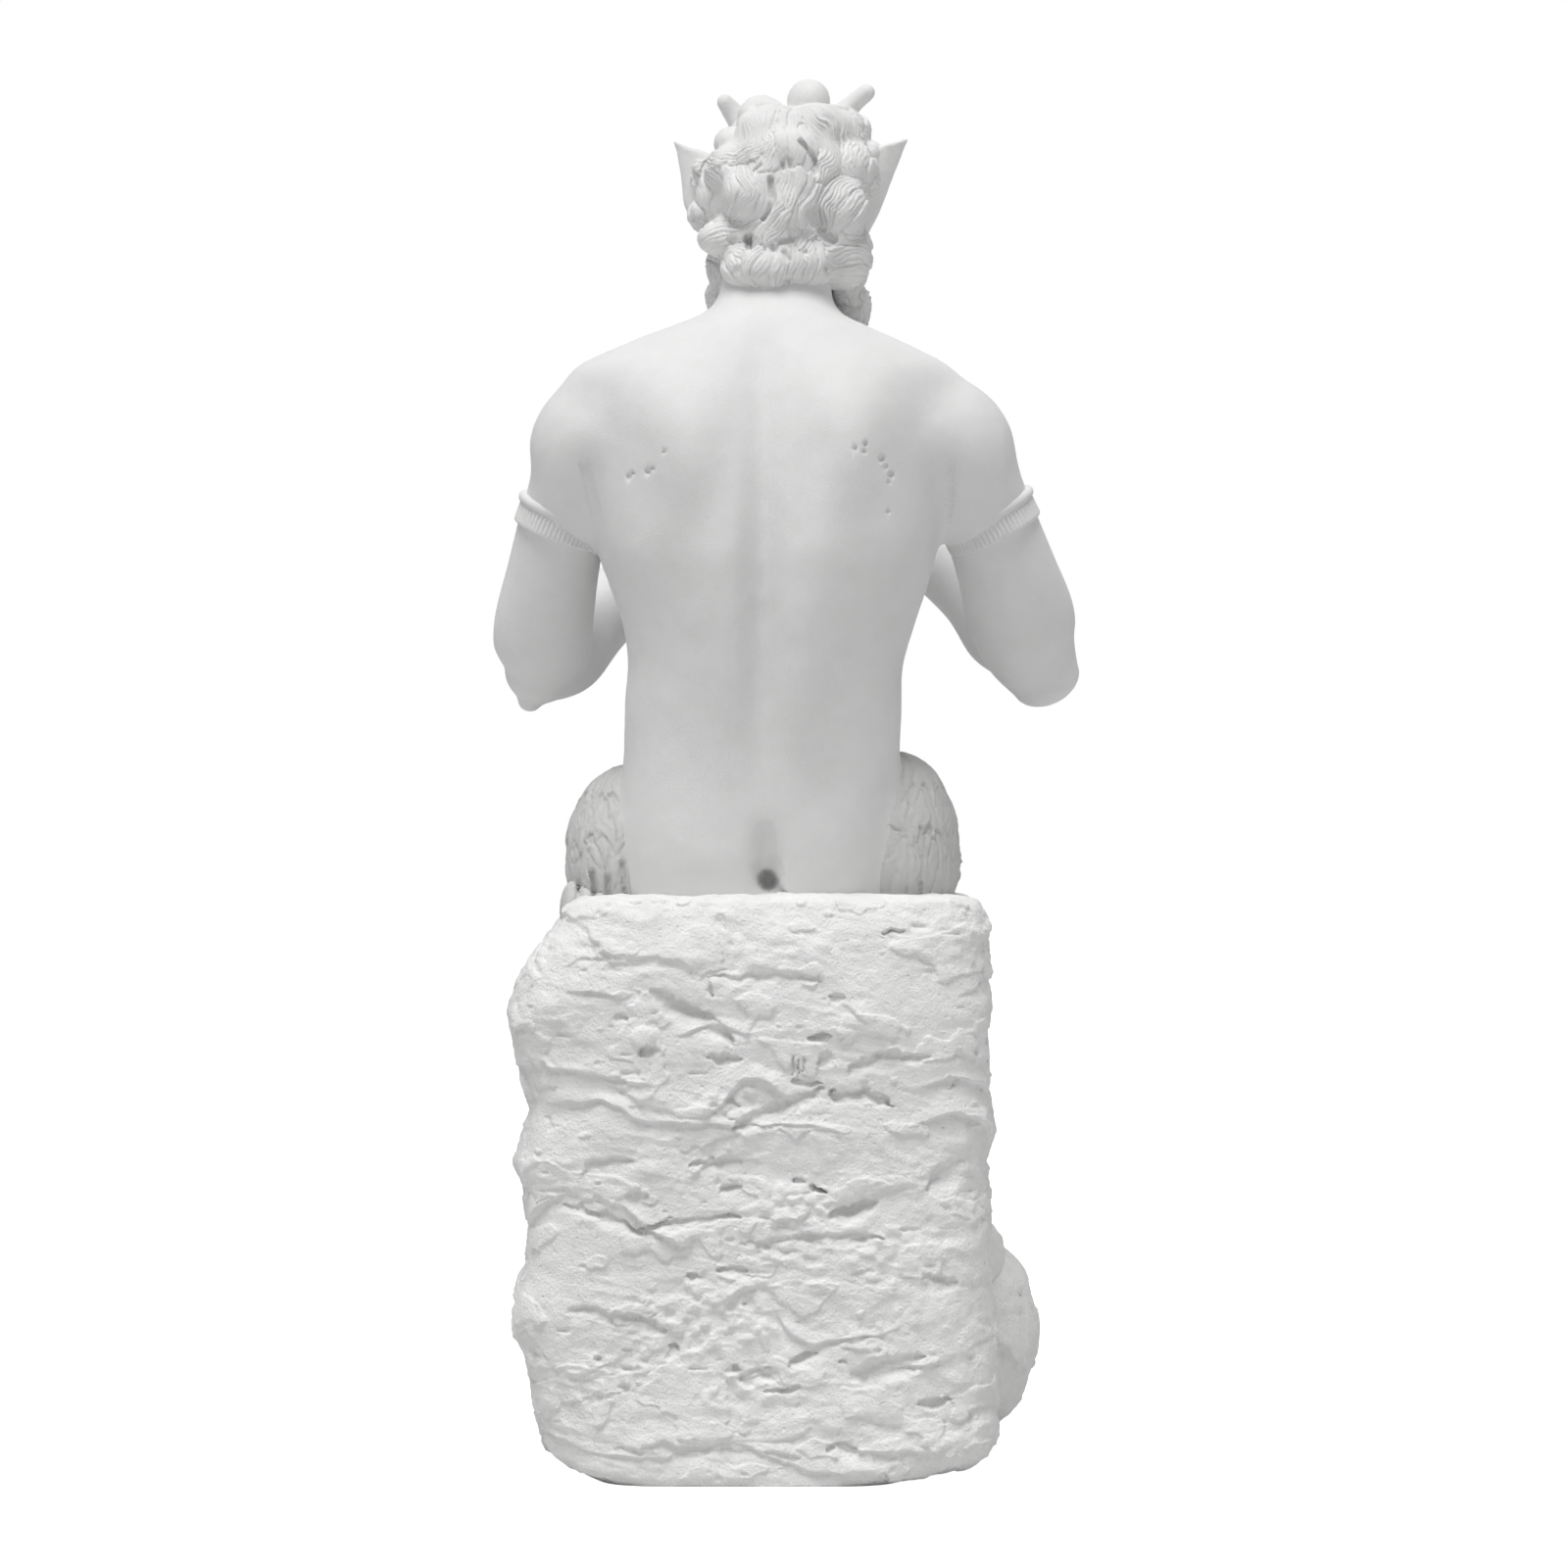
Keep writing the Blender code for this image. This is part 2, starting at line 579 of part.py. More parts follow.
def leg_joints(s):
    """Knee, hock, fetlock and toe of one leg, with the ledge and the seat setting their heights."""
    knee = on_figure([(LEG_MIDDLE + s * KNEE[0], KNEE[1] * LEG_STRETCH, KNEE[2])])[0]
    joints = [knee]
    for x, y, share in (HOCK, FETLOCK, TOE):
        across = (LEG_MIDDLE + s * x) * FIGURE_SCALE
        forward = y * FIGURE_SCALE * LEG_STRETCH
        joints.append(np.array([across, forward, LEDGE_HEIGHT + (knee[2] - LEDGE_HEIGHT) * share]))
    return joints


def thigh_stations(s):
    """The thigh's stations on one side, stretched to the knee's reach."""
    return on_figure([(LEG_MIDDLE + s * x, y * LEG_STRETCH, h, w, d) for x, y, h, w, d in THIGH])


def legs():
    """Thighs, shanks, cannons and cloven hooves."""
    made = [figure_egg(centre, radii, 16) for centre, radii in HIPS]
    for s in (1, -1):
        made.append(limb(thigh_stations(s), around=20))
        knee, hock, fetlock, toe = leg_joints(s)
        calf = (knee + hock) / 2 + np.array([0, 0.014, 0.020])
        made.append(limb([(*knee, 0.054, 0.058), (*calf, 0.050, 0.060), (*hock, 0.034, 0.040)], around=16))
        heel = hock + np.array([0, 0.016, 0.012])
        shin = (hock + fetlock) / 2
        cannon = [(*heel, 0.026, 0.030), (*shin, 0.026, 0.028), (*fetlock, 0.032, 0.034)]
        made.append(limb(cannon, around=14))
        for claw in (-1, 1):
            apart = np.array([0.018 * claw, 0, 0])
            middle = (fetlock + toe) / 2 + np.array([0, -0.004, 0])
            hoof = [
                (*(fetlock + apart * 0.8), 0.017, 0.024),
                (*(middle + apart), 0.018, 0.028),
                (*(toe + apart), 0.018, 0.036),
            ]
            made.append(limb(hoof, around=12))
    return made


def tuft(root, way, out, length, width):
    """A pointed lock of fur that lies along way and stands a little out."""
    middle = root + way * length * 0.5 + out * width * 0.45
    tip = root + way * length + out * width * 0.10
    stations = [
        (*root, width, width * 0.6),
        (*middle, width * 0.95, width * 0.5),
        (*tip, width * 0.25, width * 0.2),
    ]
    return limb(stations, side=np.cross(way, out), around=6, per_span=2)


FUR_RINGS = 5
FUR_AROUND = 9
FUR_LENGTH = 0.075
FUR_WIDTH = 0.021


def fur():
    """Rows of tufts round the thighs and shanks, each row over the roots of the next."""
    made = []
    for s in (1, -1):
        thigh = smooth_rows(thigh_stations(s), 8)
        for ring in range(FUR_RINGS):
            x, y, z, w, d = thigh[int((len(thigh) - 1) * (ring + 0.3) / FUR_RINGS)]
            for i in range(FUR_AROUND):
                turn = np.radians(-50 + 280 * (i + 0.5 * (ring % 2)) / FUR_AROUND)
                out = np.array([s * np.cos(turn), 0, np.sin(turn)])
                root = np.array([x + w * out[0], y, z + d * out[2]]) - out * FUR_WIDTH * 0.35
                way = np.array([0.10 * s * np.sin(3.0 * i + ring), -0.5, -0.8])
                way -= out * (way @ out)
                way /= np.linalg.norm(way)
                made.append(tuft(root, way, out, FUR_LENGTH, FUR_WIDTH))
        knee, hock, *_ = leg_joints(s)
        for ring in range(4):
            at = knee + (hock - knee) * (-0.10 + 0.28 * ring)
            reach = 0.052 - 0.005 * ring
            for i in range(7):
                turn = 2 * np.pi * (i + 0.5 * (ring % 2)) / 7
                out = np.array([np.cos(turn), np.sin(turn), 0])
                root = at + out * (reach - FUR_WIDTH * 0.3)
                way = np.array([0.12 * np.sin(2.0 * i + ring), 0.2, -1.0])
                way -= out * (way @ out)
                way /= np.linalg.norm(way)
                made.append(tuft(root, way, out, FUR_LENGTH, FUR_WIDTH * 0.9))
    return made


# Rock: height, left edge (+X), right edge (-X)
ROCK = [
    (-0.020, 0.140, -0.100),
    (-0.002, 0.164, -0.126),
    (0.014, 0.203, -0.189),
    (0.034, 0.220, -0.216),
    (0.070, 0.228, -0.218),
    (0.115, 0.240, -0.218),
    (0.155, 0.249, -0.217),
    (0.200, 0.238, -0.215),
    (0.250, 0.232, -0.215),
    (0.290, 0.236, -0.214),
    (0.310, 0.243, -0.214),
    (0.370, 0.234, -0.216),
    (0.425, 0.243, -0.210),
    (0.463, 0.253, -0.212),
    (0.505, 0.233, -0.213),
    (0.540, 0.210, -0.211),
    (0.565, 0.192, -0.204),
    (0.577, 0.165, -0.180),
]

# Scoops and ledges cut in the rear face: x, height, reach in x, reach in height, rise
ROCK_RELIEF = [
    (0.080, 0.455, 0.060, 0.014, -0.014),
    (0.120, 0.430, 0.020, 0.016, -0.012),
    (-0.050, 0.425, 0.026, 0.020, -0.020),
    (-0.090, 0.372, 0.050, 0.014, -0.018),
    (0.110, 0.252, 0.080, 0.010, -0.010),
    (0.130, 0.270, 0.020, 0.018, -0.012),
    (-0.085, 0.262, 0.030, 0.014, -0.014),
    (0.034, 0.205, 0.022, 0.010, -0.018),
    (-0.050, 0.115, 0.100, 0.012, -0.010),
    (-0.110, 0.098, 0.040, 0.016, -0.014),
    (0.190, 0.380, 0.030, 0.030, -0.014),
    (0.200, 0.470, 0.030, 0.035, 0.006),
    (-0.130, 0.500, 0.070, 0.030, 0.006),
    (0.020, 0.520, 0.090, 0.022, 0.006),
    (0.150, 0.160, 0.060, 0.040, 0.008),
]
# Swollen parts outside the block: middle, radii
OUTCROPS = [
    ((-0.199, -0.090, 0.125), (0.074, 0.105, 0.096)),
    ((-0.182, -0.060, 0.206), (0.054, 0.085, 0.050)),
    ((0.110, -0.205, 0.250), (0.100, 0.070, 0.190)),
    ((-0.060, -0.205, 0.120), (0.140, 0.080, 0.150)),
    ((0.020, -0.215, 0.480), (0.120, 0.060, 0.090)),
]
# Strata and lumps of the rock: length along X and Y, height, rise of each size of lump
LUMPS = [(0.260, 0.055, 0.009), (0.110, 0.030, 0.006), (0.500, 0.180, 0.008)]
LATTICE = np.random.default_rng(7).random((32, 32, 32))


def lumps(points):
    """Rise at each point: smooth values between the corners of lattices as large as the lumps."""
    total = np.zeros(points.shape[:-1])
    for length, height, rise in LUMPS:
        at = points / np.array([length, length, height]) + 11.3
        cell = np.floor(at).astype(int)
        t = at - cell
        t = t * t * (3 - 2 * t)
        value = 0
        for corner in np.ndindex(2, 2, 2):
            weight = np.prod(np.where(corner, t, 1 - t), axis=-1)
            i, j, k = np.moveaxis((cell + corner) % 32, -1, 0)
            value = value + weight * LATTICE[i, j, k]
        total += rise * (2 * value - 1)
    return total


def roughened(mesh):
    """Push a form's surface in and out by the rock's lumps."""
    count = len(mesh.vertices)
    points, normals = np.empty(count * 3), np.empty(count * 3)
    mesh.vertices.foreach_get("co", points)
    mesh.vertices.foreach_get("normal", normals)
    points, normals = points.reshape(-1, 3), normals.reshape(-1, 3)
    mesh.vertices.foreach_set("co", (points + normals * lumps(points)[:, None] * 1.4).ravel())
    return mesh


def rock():
    """The block, its outcrop low on the figure's right and the ledge under the hooves."""
    around = 120
    angle = np.linspace(0, 2 * np.pi, around, endpoint=False)
    wide, tall = ROCK_WIDTH / DRAWN_ROCK_WIDTH, SEAT_HEIGHT / DRAWN_SEAT
    behind = np.clip(np.sin(angle), 0, 1) ** 0.3
    rings = []
    for height, left, right in smooth_rows(ROCK, 4):
        pinch = 1 - 0.14 * np.clip((height - PINCH_START) / PINCH_RANGE, 0, 1) ** 2
        x, y = outline(angle, (left - right) / 2 * wide, ROCK_FRONT * pinch, ROCK_BACK * pinch, 5.0)
        x = x + (left + right) / 2 * wide
        swell = behind * swellings(x / wide, height, ROCK_RELIEF)
        swell = swell + lumps(np.stack([x, y, np.full(around, height)], axis=-1))
        rings.append(np.stack([x, y + swell * np.sin(angle), np.full(around, height * tall)], axis=-1))
    middle = -(LEDGE_REACH + ROCK_FRONT) / 2 + 0.03
    reach = (LEDGE_REACH - ROCK_FRONT) / 2 + 0.03
    ledge = [
        (0.175 * wide, middle + 0.012, 0.0, reach - 0.012, LEDGE_HEIGHT),
        (0.080 * wide, middle - 0.002, 0.0, reach + 0.006, LEDGE_HEIGHT * 0.96),
        (-0.070 * wide, middle + 0.004, 0.0, reach - 0.002, LEDGE_HEIGHT * 0.98),
        (-0.165 * wide, middle + 0.010, 0.0, reach - 0.010, LEDGE_HEIGHT),
    ]
    added = [limb(ledge, side=(0, 1, 0), around=36, per_span=8)]
    for (x, y, height), (rx, ry, rz) in OUTCROPS:
        added.append(egg((x * wide, y, height * tall), (rx, ry, rz * tall), 24))
    return [skin(np.array(rings))] + [roughened(mesh) for mesh in added]


# Where the overlapping forms are worked smooth: centre (x, y, height above the seat), radius, rounds
SMOOTHED = [
    ((0.160, 0.050, 0.480), 0.100, 30),
    ((-0.160, 0.050, 0.480), 0.100, 30),
    ((0.000, 0.020, 0.585), 0.070, 16),
    ((0.228, -0.105, 0.235), 0.050, 4),
    ((-0.258, -0.105, 0.250), 0.050, 4),
    ((0.160, -0.050, 0.470), 0.080, 16),
    ((-0.160, -0.050, 0.470), 0.080, 16),
]


def smoothed(mesh, rounds, places):
    """Move each vertex towards the mean of its neighbours, everywhere and then more in some places."""
    count = len(mesh.vertices)
    points = np.empty(count * 3)
    mesh.vertices.foreach_get("co", points)
    points = points.reshape(-1, 3)
    edges = np.empty(len(mesh.edges) * 2, int)
    mesh.edges.foreach_get("vertices", edges)
    a, b = edges.reshape(-1, 2).T
    links = np.bincount(np.concatenate([a, b]), minlength=count)[:, None]
    for centre, radius, times in [(None, 0, rounds)] + places:
        share = np.full((count, 1), 0.5)
        if centre is not None:
            distance = np.linalg.norm(points - centre, axis=1, keepdims=True)
            share = 0.5 * np.clip(2 - 2 * distance / radius, 0, 1)
        for _ in range(times):
            total = np.zeros_like(points)
            for axis in range(3):
                total[:, axis] = np.bincount(a, points[b, axis], count)
                total[:, axis] += np.bincount(b, points[a, axis], count)
            points = points + share * (total / links - points)
    mesh.vertices.foreach_set("co", points.ravel())
    mesh.update()


def stone():
    """A Principled material with the statue's colour."""
    made = bpy.data.materials.new("stone")
    made.use_nodes = True
    shader = made.node_tree.nodes["Principled BSDF"]
    shader.inputs["Base Color"].default_value = MARBLE
    shader.inputs["Roughness"].default_value = MARBLE_ROUGHNESS
    shader.inputs["Metallic"].default_value = 0.0
    return made


def joined(name, forms):
    """One object that holds all these overlapping closed forms."""
    shape = bmesh.new()
    for mesh in forms:
        shape.from_mesh(mesh)
        bpy.data.meshes.remove(mesh)
    mesh = bpy.data.meshes.new(name)
    shape.to_mesh(mesh)
    shape.free()
    made = bpy.data.objects.new(name, mesh)
    bpy.context.scene.collection.objects.link(made)
    return made


def fused(obj):
    """Remesh the overlapping forms into one skin, smooth the joints and thin the triangles."""
    remesh = obj.modifiers.new("one skin", "REMESH")
    remesh.mode = "VOXEL"
    remesh.voxel_size = VOXEL
    bpy.context.view_layer.update()
    graph = bpy.context.evaluated_depsgraph_get()
    dense = bpy.data.meshes.new_from_object(obj.evaluated_get(graph))
    obj.modifiers.clear()
    obj.data = dense
    places = [(on_figure([centre])[0], radius * FIGURE_SCALE, times) for centre, radius, times in SMOOTHED]
    smoothed(dense, 2, places)
    thin = obj.modifiers.new("few triangles", "DECIMATE")
    thin.ratio = TRIANGLES / (2 * len(dense.polygons))
    return obj


def cut_flat(obj):
    """Cut the underside flat at the ground."""
    size = 3.0
    shape = bmesh.new()
    bmesh.ops.create_cube(shape, size=size)
    mesh = bpy.data.meshes.new("ground_cutter")
    shape.to_mesh(mesh)
    shape.free()
    cutter = bpy.data.objects.new("ground_cutter", mesh)
    cutter.location.z = -size / 2
    cutter.hide_render = True
    cutter.display_type = "WIRE"
    bpy.context.scene.collection.objects.link(cutter)
    cut = obj.modifiers.new("flat underside", "BOOLEAN")
    cut.operation = "DIFFERENCE"
    cut.object = cutter


def main():
    for old in list(bpy.data.objects):
        bpy.data.objects.remove(old, do_unlink=True)
    forms = trunk() + arms() + armlets() + hands() + pan_pipes()
    forms += head() + horns_and_ears() + hair() + beard()
    forms += legs() + fur() + rock()
    statue = fused(joined("pan_statue", forms))
    cut_flat(statue)
    statue.data.materials.clear()
    statue.data.materials.append(stone())


main()
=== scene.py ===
import bpy
import numpy as np
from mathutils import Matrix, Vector


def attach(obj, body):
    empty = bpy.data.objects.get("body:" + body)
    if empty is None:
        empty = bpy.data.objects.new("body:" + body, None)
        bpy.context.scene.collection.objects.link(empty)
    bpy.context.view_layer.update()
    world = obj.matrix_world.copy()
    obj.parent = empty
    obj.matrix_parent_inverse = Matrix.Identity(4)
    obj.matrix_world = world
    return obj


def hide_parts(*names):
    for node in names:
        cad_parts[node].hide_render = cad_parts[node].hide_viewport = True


# A seated Pan carved from one block. The figure faces -Y and its left side is at +X.
# Heights in the figure's tables are above the seat. Everything is in metres.

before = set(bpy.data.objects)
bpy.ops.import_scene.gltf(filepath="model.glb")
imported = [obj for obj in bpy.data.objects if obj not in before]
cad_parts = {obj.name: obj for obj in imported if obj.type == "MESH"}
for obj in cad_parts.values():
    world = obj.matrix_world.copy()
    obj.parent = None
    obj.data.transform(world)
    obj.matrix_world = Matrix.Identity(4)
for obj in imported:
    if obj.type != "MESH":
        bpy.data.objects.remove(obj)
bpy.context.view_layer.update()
seat = 0.575
node = "pan_statue"


def throughRows(rows, perSpan):
    # Catmull-Rom curve through the rows: each span is a cubic whose ends follow its neighbours.
    rows = np.array(rows, float)
    padded = np.vstack([2 * rows[0] - rows[1], rows, 2 * rows[-1] - rows[-2]])
    t = np.linspace(0, 1, perSpan, endpoint=False)[None, :, None]
    a, b, c, d = (padded[i : i + len(rows) - 1, None] for i in range(4))
    square = (2 * a - 5 * b + 4 * c - d) * t**2
    cube = (3 * b - a - 3 * c + d) * t**3
    spans = 0.5 * (2 * b + (c - a) * t + square + cube)
    return np.vstack([spans.reshape(-1, rows.shape[1]), rows[-1:]])


def closeRings(rings):
    # Points and faces of a closed skin: quads between rings, a fan to the middle of each end ring.
    count, around = rings.shape[:2]
    points = np.vstack([rings.reshape(-1, 3), rings[0].mean(0), rings[-1].mean(0)])
    i, j = np.meshgrid(np.arange(count - 1), np.arange(around), indexing="ij")
    k = (j + 1) % around
    low, high = i * around, (i + 1) * around
    quads = np.stack([low + j, low + k, high + k, high + j], -1).reshape(-1, 4)
    j = np.arange(around)
    k = (j + 1) % around
    foot = np.stack([np.full(around, count * around), k, j], -1)
    last = (count - 1) * around
    tip = np.stack([np.full(around, count * around + 1), last + j, last + k], -1)
    tris = np.vstack([foot, tip])
    a, b, c = points[quads[:, 0]], points[quads[:, 1]], points[quads[:, 2]]
    d = points[quads[:, 3]]
    volume = (np.cross(a, b) * c).sum() + (np.cross(a, c) * d).sum()
    a, b, c = points[tris[:, 0]], points[tris[:, 1]], points[tris[:, 2]]
    volume += (np.cross(a, b) * c).sum()
    if volume < 0:
        quads, tris = quads[:, ::-1], tris[:, ::-1]
    return points, quads, tris


def sweep(line, across, other, ends, turns, around):
    # An ellipse of half width and half depth carried along a line. Both ends close as half ellipses
    # that reach out by the two lengths in ends, with a ring at each of the turns, in degrees.
    centre, wide, deep, way = line
    turns = np.radians(turns)
    shrink, reach = np.cos(turns), np.sin(turns)
    foot = centre[0] - way[0] * (ends[0] * reach)[:, None]
    tip = centre[-1] + way[-1] * (ends[1] * reach[::-1])[:, None]
    centre = np.vstack([foot, centre, tip])
    wide, deep = (np.concatenate([v[0] * shrink, v, v[-1] * shrink[::-1]]) for v in (wide, deep))
    across, other = (np.vstack([[v[0]] * len(turns), v, [v[-1]] * len(turns)]) for v in (across, other))
    angle = np.linspace(0, 2 * np.pi, around, endpoint=False)
    rings = across[:, None] * (wide[:, None] * np.cos(angle))[..., None]
    rings = rings + other[:, None] * (deep[:, None] * np.sin(angle))[..., None]
    return closeRings(centre[:, None] + rings)


def tube(stations, side=(1, 0, 0), around=24, perSpan=6):
    # Stations are x, y, z, half width and half depth. The half width lies as near to side as it can.
    rows = throughRows(stations, perSpan)
    centre, wide, deep = rows[:, :3], rows[:, 3], rows[:, 4]
    way = np.gradient(centre, axis=0)
    way /= np.linalg.norm(way, axis=1, keepdims=True)
    across = np.array(side, float) - way * (way @ np.array(side, float))[:, None]
    across /= np.linalg.norm(across, axis=1, keepdims=True)
    ends = (deep[0], deep[-1])
    return sweep((centre, wide, deep, way), across, np.cross(way, across), ends, [84, 68, 50, 32, 15], around)


def egg(centre, radii, around=28):
    # An ellipsoid: level rings whose size follows the cosine of their elevation.
    lift = np.radians(np.linspace(-84, 84, around // 2 + 3))
    angle = np.linspace(0, 2 * np.pi, around, endpoint=False)
    rings = np.stack(
        [
            np.outer(np.cos(lift), np.cos(angle)) * radii[0],
            np.outer(np.cos(lift), np.sin(angle)) * radii[1],
            np.outer(np.sin(lift), np.ones(around)) * radii[2],
        ],
        axis=-1,
    )
    return closeRings(rings + np.array(centre))


def onSeat(stations):
    # Stations with heights above the seat, lifted to it.
    placed = np.array(stations, float)
    placed[:, 2] += seat
    return placed


def seatEgg(centre, radii, around=28):
    return egg(onSeat([centre])[0], radii, around)


def meshFrom(name, forms):
    # One mesh that holds all the forms, each a (points, quads, tris) triple.
    points, quads, tris, start = [], [], [], 0
    for p, q, t in forms:
        points.append(p)
        quads.append(q + start)
        tris.append(t + start)
        start += len(p)
    points, quads, tris = np.vstack(points), np.vstack(quads), np.vstack(tris)
    corners = np.concatenate([quads.ravel(), tris.ravel()]).astype(np.int32)
    sizes = np.concatenate([np.full(len(quads), 4), np.full(len(tris), 3)]).astype(np.int32)
    mesh = bpy.data.meshes.new(name)
    mesh.vertices.add(len(points))
    mesh.vertices.foreach_set("co", points.astype(np.float32).ravel())
    mesh.loops.add(len(corners))
    mesh.loops.foreach_set("vertex_index", corners)
    mesh.polygons.add(len(sizes))
    mesh.polygons.foreach_set("loop_start", (np.cumsum(sizes) - sizes).astype(np.int32))
    mesh.polygons.foreach_set("loop_total", sizes)
    mesh.update(calc_edges=True)
    return mesh


def placed(name, mesh):
    # An object of the scene that holds this mesh.
    made = bpy.data.objects.new(name, mesh)
    bpy.context.scene.collection.objects.link(made)
    return made


def settle(piece):
    # The piece's modifiers are worked into its mesh.
    bpy.context.view_layer.update()
    graph = bpy.context.evaluated_depsgraph_get()
    made = bpy.data.meshes.new_from_object(piece.evaluated_get(graph))
    old = piece.data
    piece.modifiers.clear()
    piece.data = made
    bpy.data.meshes.remove(old)


def fuse(name, forms, voxel):
    # The overlapping forms become one skin of even squares, through a voxel remesh.
    piece = placed(name, meshFrom(name, forms))
    remesh = piece.modifiers.new("one skin", "REMESH")
    remesh.mode = "VOXEL"
    remesh.voxel_size = voxel
    settle(piece)
    return piece


def thin(piece, triangles):
    # Edges collapse where the skin is flattest, until this many triangles are left.
    count = 2 * len(piece.data.polygons)
    if count > triangles:
        fewer = piece.modifiers.new("fewer triangles", "DECIMATE")
        fewer.ratio = triangles / count
        settle(piece)


def getPoints(mesh):
    values = np.empty(len(mesh.vertices) * 3, np.float32)
    mesh.vertices.foreach_get("co", values)
    return values.reshape(-1, 3).astype(float)


def setPoints(mesh, points):
    mesh.vertices.foreach_set("co", points.astype(np.float32).ravel())
    mesh.update()


def getNormals(mesh):
    values = np.empty(len(mesh.vertices) * 3, np.float32)
    mesh.vertices.foreach_get("normal", values)
    return values.reshape(-1, 3).astype(float)


def raised(mesh, rise):
    # Each point moves along its normal by its own rise.
    setPoints(mesh, getPoints(mesh) + getNormals(mesh) * rise[:, None])


def near(points, places):
    # 1 at each place's middle, falling to 0 at its radius, and the largest over all places.
    share = np.zeros(len(points))
    for x, y, height, radius in places:
        away = np.linalg.norm(points - np.array([x, y, height + seat]), axis=1) / radius
        share = np.maximum(share, np.clip(2 - 2 * away, 0, 1))
    return share


def relax(mesh, rounds, places=None, strength=0.5):
    # Each point moves part of the way to the mean of its neighbours, a few times over.
    points = getPoints(mesh)
    edges = np.empty(len(mesh.edges) * 2, np.int32)
    mesh.edges.foreach_get("vertices", edges)
    a, b = edges.reshape(-1, 2).T
    share = np.full(len(points), 1.0) if places is None else near(points, places)
    touched = np.flatnonzero(share > 0)
    mine = np.isin(a, touched) | np.isin(b, touched)
    a, b = a[mine], b[mine]
    count = len(points)
    links = np.maximum(np.bincount(np.concatenate([a, b]), minlength=count), 1)[:, None]
    share = (share * strength)[:, None]
    for _ in range(rounds):
        sums = [np.bincount(a, points[b, i], count) + np.bincount(b, points[a, i], count) for i in range(3)]
        total = np.stack(sums, -1)
        points = points + share * (total / links - points)
    setPoints(mesh, points)


def softened(forms, voxel, rounds, places=None, more=0):
    # The forms fused coarsely and worked soft, as one form for a finer fusing.
    rough = fuse("rough", forms, voxel)
    relax(rough.data, rounds)
    if places:
        relax(rough.data, more, places)
    mesh = rough.data
    points = getPoints(mesh)
    corners = np.empty(len(mesh.loops), np.int32)
    mesh.loops.foreach_get("vertex_index", corners)
    bpy.data.objects.remove(rough)
    bpy.data.meshes.remove(mesh)
    return points, corners.reshape(-1, 4), np.empty((0, 3), int)


lattice = np.random.default_rng(11).random((32, 32, 32))


def noise(points, size, shift=0.0):
    # Smooth values from -1 to 1: a lattice of random numbers, blended by smoothstep in each cell.
    at = points / np.array(size) + 17.7 + shift
    cell = np.floor(at).astype(int)
    t = at - cell
    t = t * t * (3 - 2 * t)
    cell %= 32
    after = (cell + 1) % 32
    total = 0
    for corner in np.ndindex(2, 2, 2):
        i, j, k = (after[..., n] if corner[n] else cell[..., n] for n in range(3))
        weight = 1
        for n in range(3):
            weight = weight * (t[..., n] if corner[n] else 1 - t[..., n])
        total = total + weight * lattice[i, j, k]
    return 2 * total - 1


def layers(points, size, count, shift=0.0):
    # Noise summed over count sizes, each half as large and half as strong as the one before.
    size = np.array(size, float)
    total, strength = 0, 1.0
    for n in range(count):
        total = total + strength * noise(points, size / 2**n, shift + 5.3 * n)
        strength *= 0.5
    return total


def swellings(x, height, table):
    # Sum of soft bumps, each (x, height, reach in x, reach in height, rise).
    total = 0
    for at, level, reach, riseReach, rise in table:
        total = total + rise * np.exp(-(((x - at) / reach) ** 2) - ((height - level) / riseReach) ** 2)
    return total


def finishPiece(piece, material):
    # Material, ride and smooth shading for a piece that stands for the carving.
    piece.data.materials.clear()
    piece.data.materials.append(material)
    piece.data.polygons.foreach_set("use_smooth", np.ones(len(piece.data.polygons), bool))
    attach(piece, "root")
    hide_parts(node)
    print(piece.name, "triangles", sum(len(p.vertices) - 2 for p in piece.data.polygons))


# Materials: white stone with soft stains, grain and pores, and a darker copy of it for the fur that is painted
# shade


def addNode(tree, kind, inputs, dataType=None):
    # A node whose inputs each take a value or the socket that feeds them.
    made = tree.nodes.new(kind)
    if dataType:
        made.data_type = dataType
    for name, value in inputs.items():
        if isinstance(value, bpy.types.NodeSocket):
            tree.links.new(value, made.inputs[name])
        else:
            made.inputs[name].default_value = value
    return made


def groupWith(name, inputs, outputs):
    # A node group; three numbers make a vector input, four a colour and one a value.
    made = bpy.data.node_groups.new(name, "ShaderNodeTree")
    for label, value in inputs.items():
        kind = {3: "NodeSocketVector", 4: "NodeSocketColor"}.get(np.size(value), "NodeSocketFloat")
        made.interface.new_socket(label, in_out="INPUT", socket_type=kind).default_value = value
    for label, kind in outputs.items():
        made.interface.new_socket(label, in_out="OUTPUT", socket_type=kind)
    return made, made.nodes.new("NodeGroupInput").outputs, made.nodes.new("NodeGroupOutput").inputs


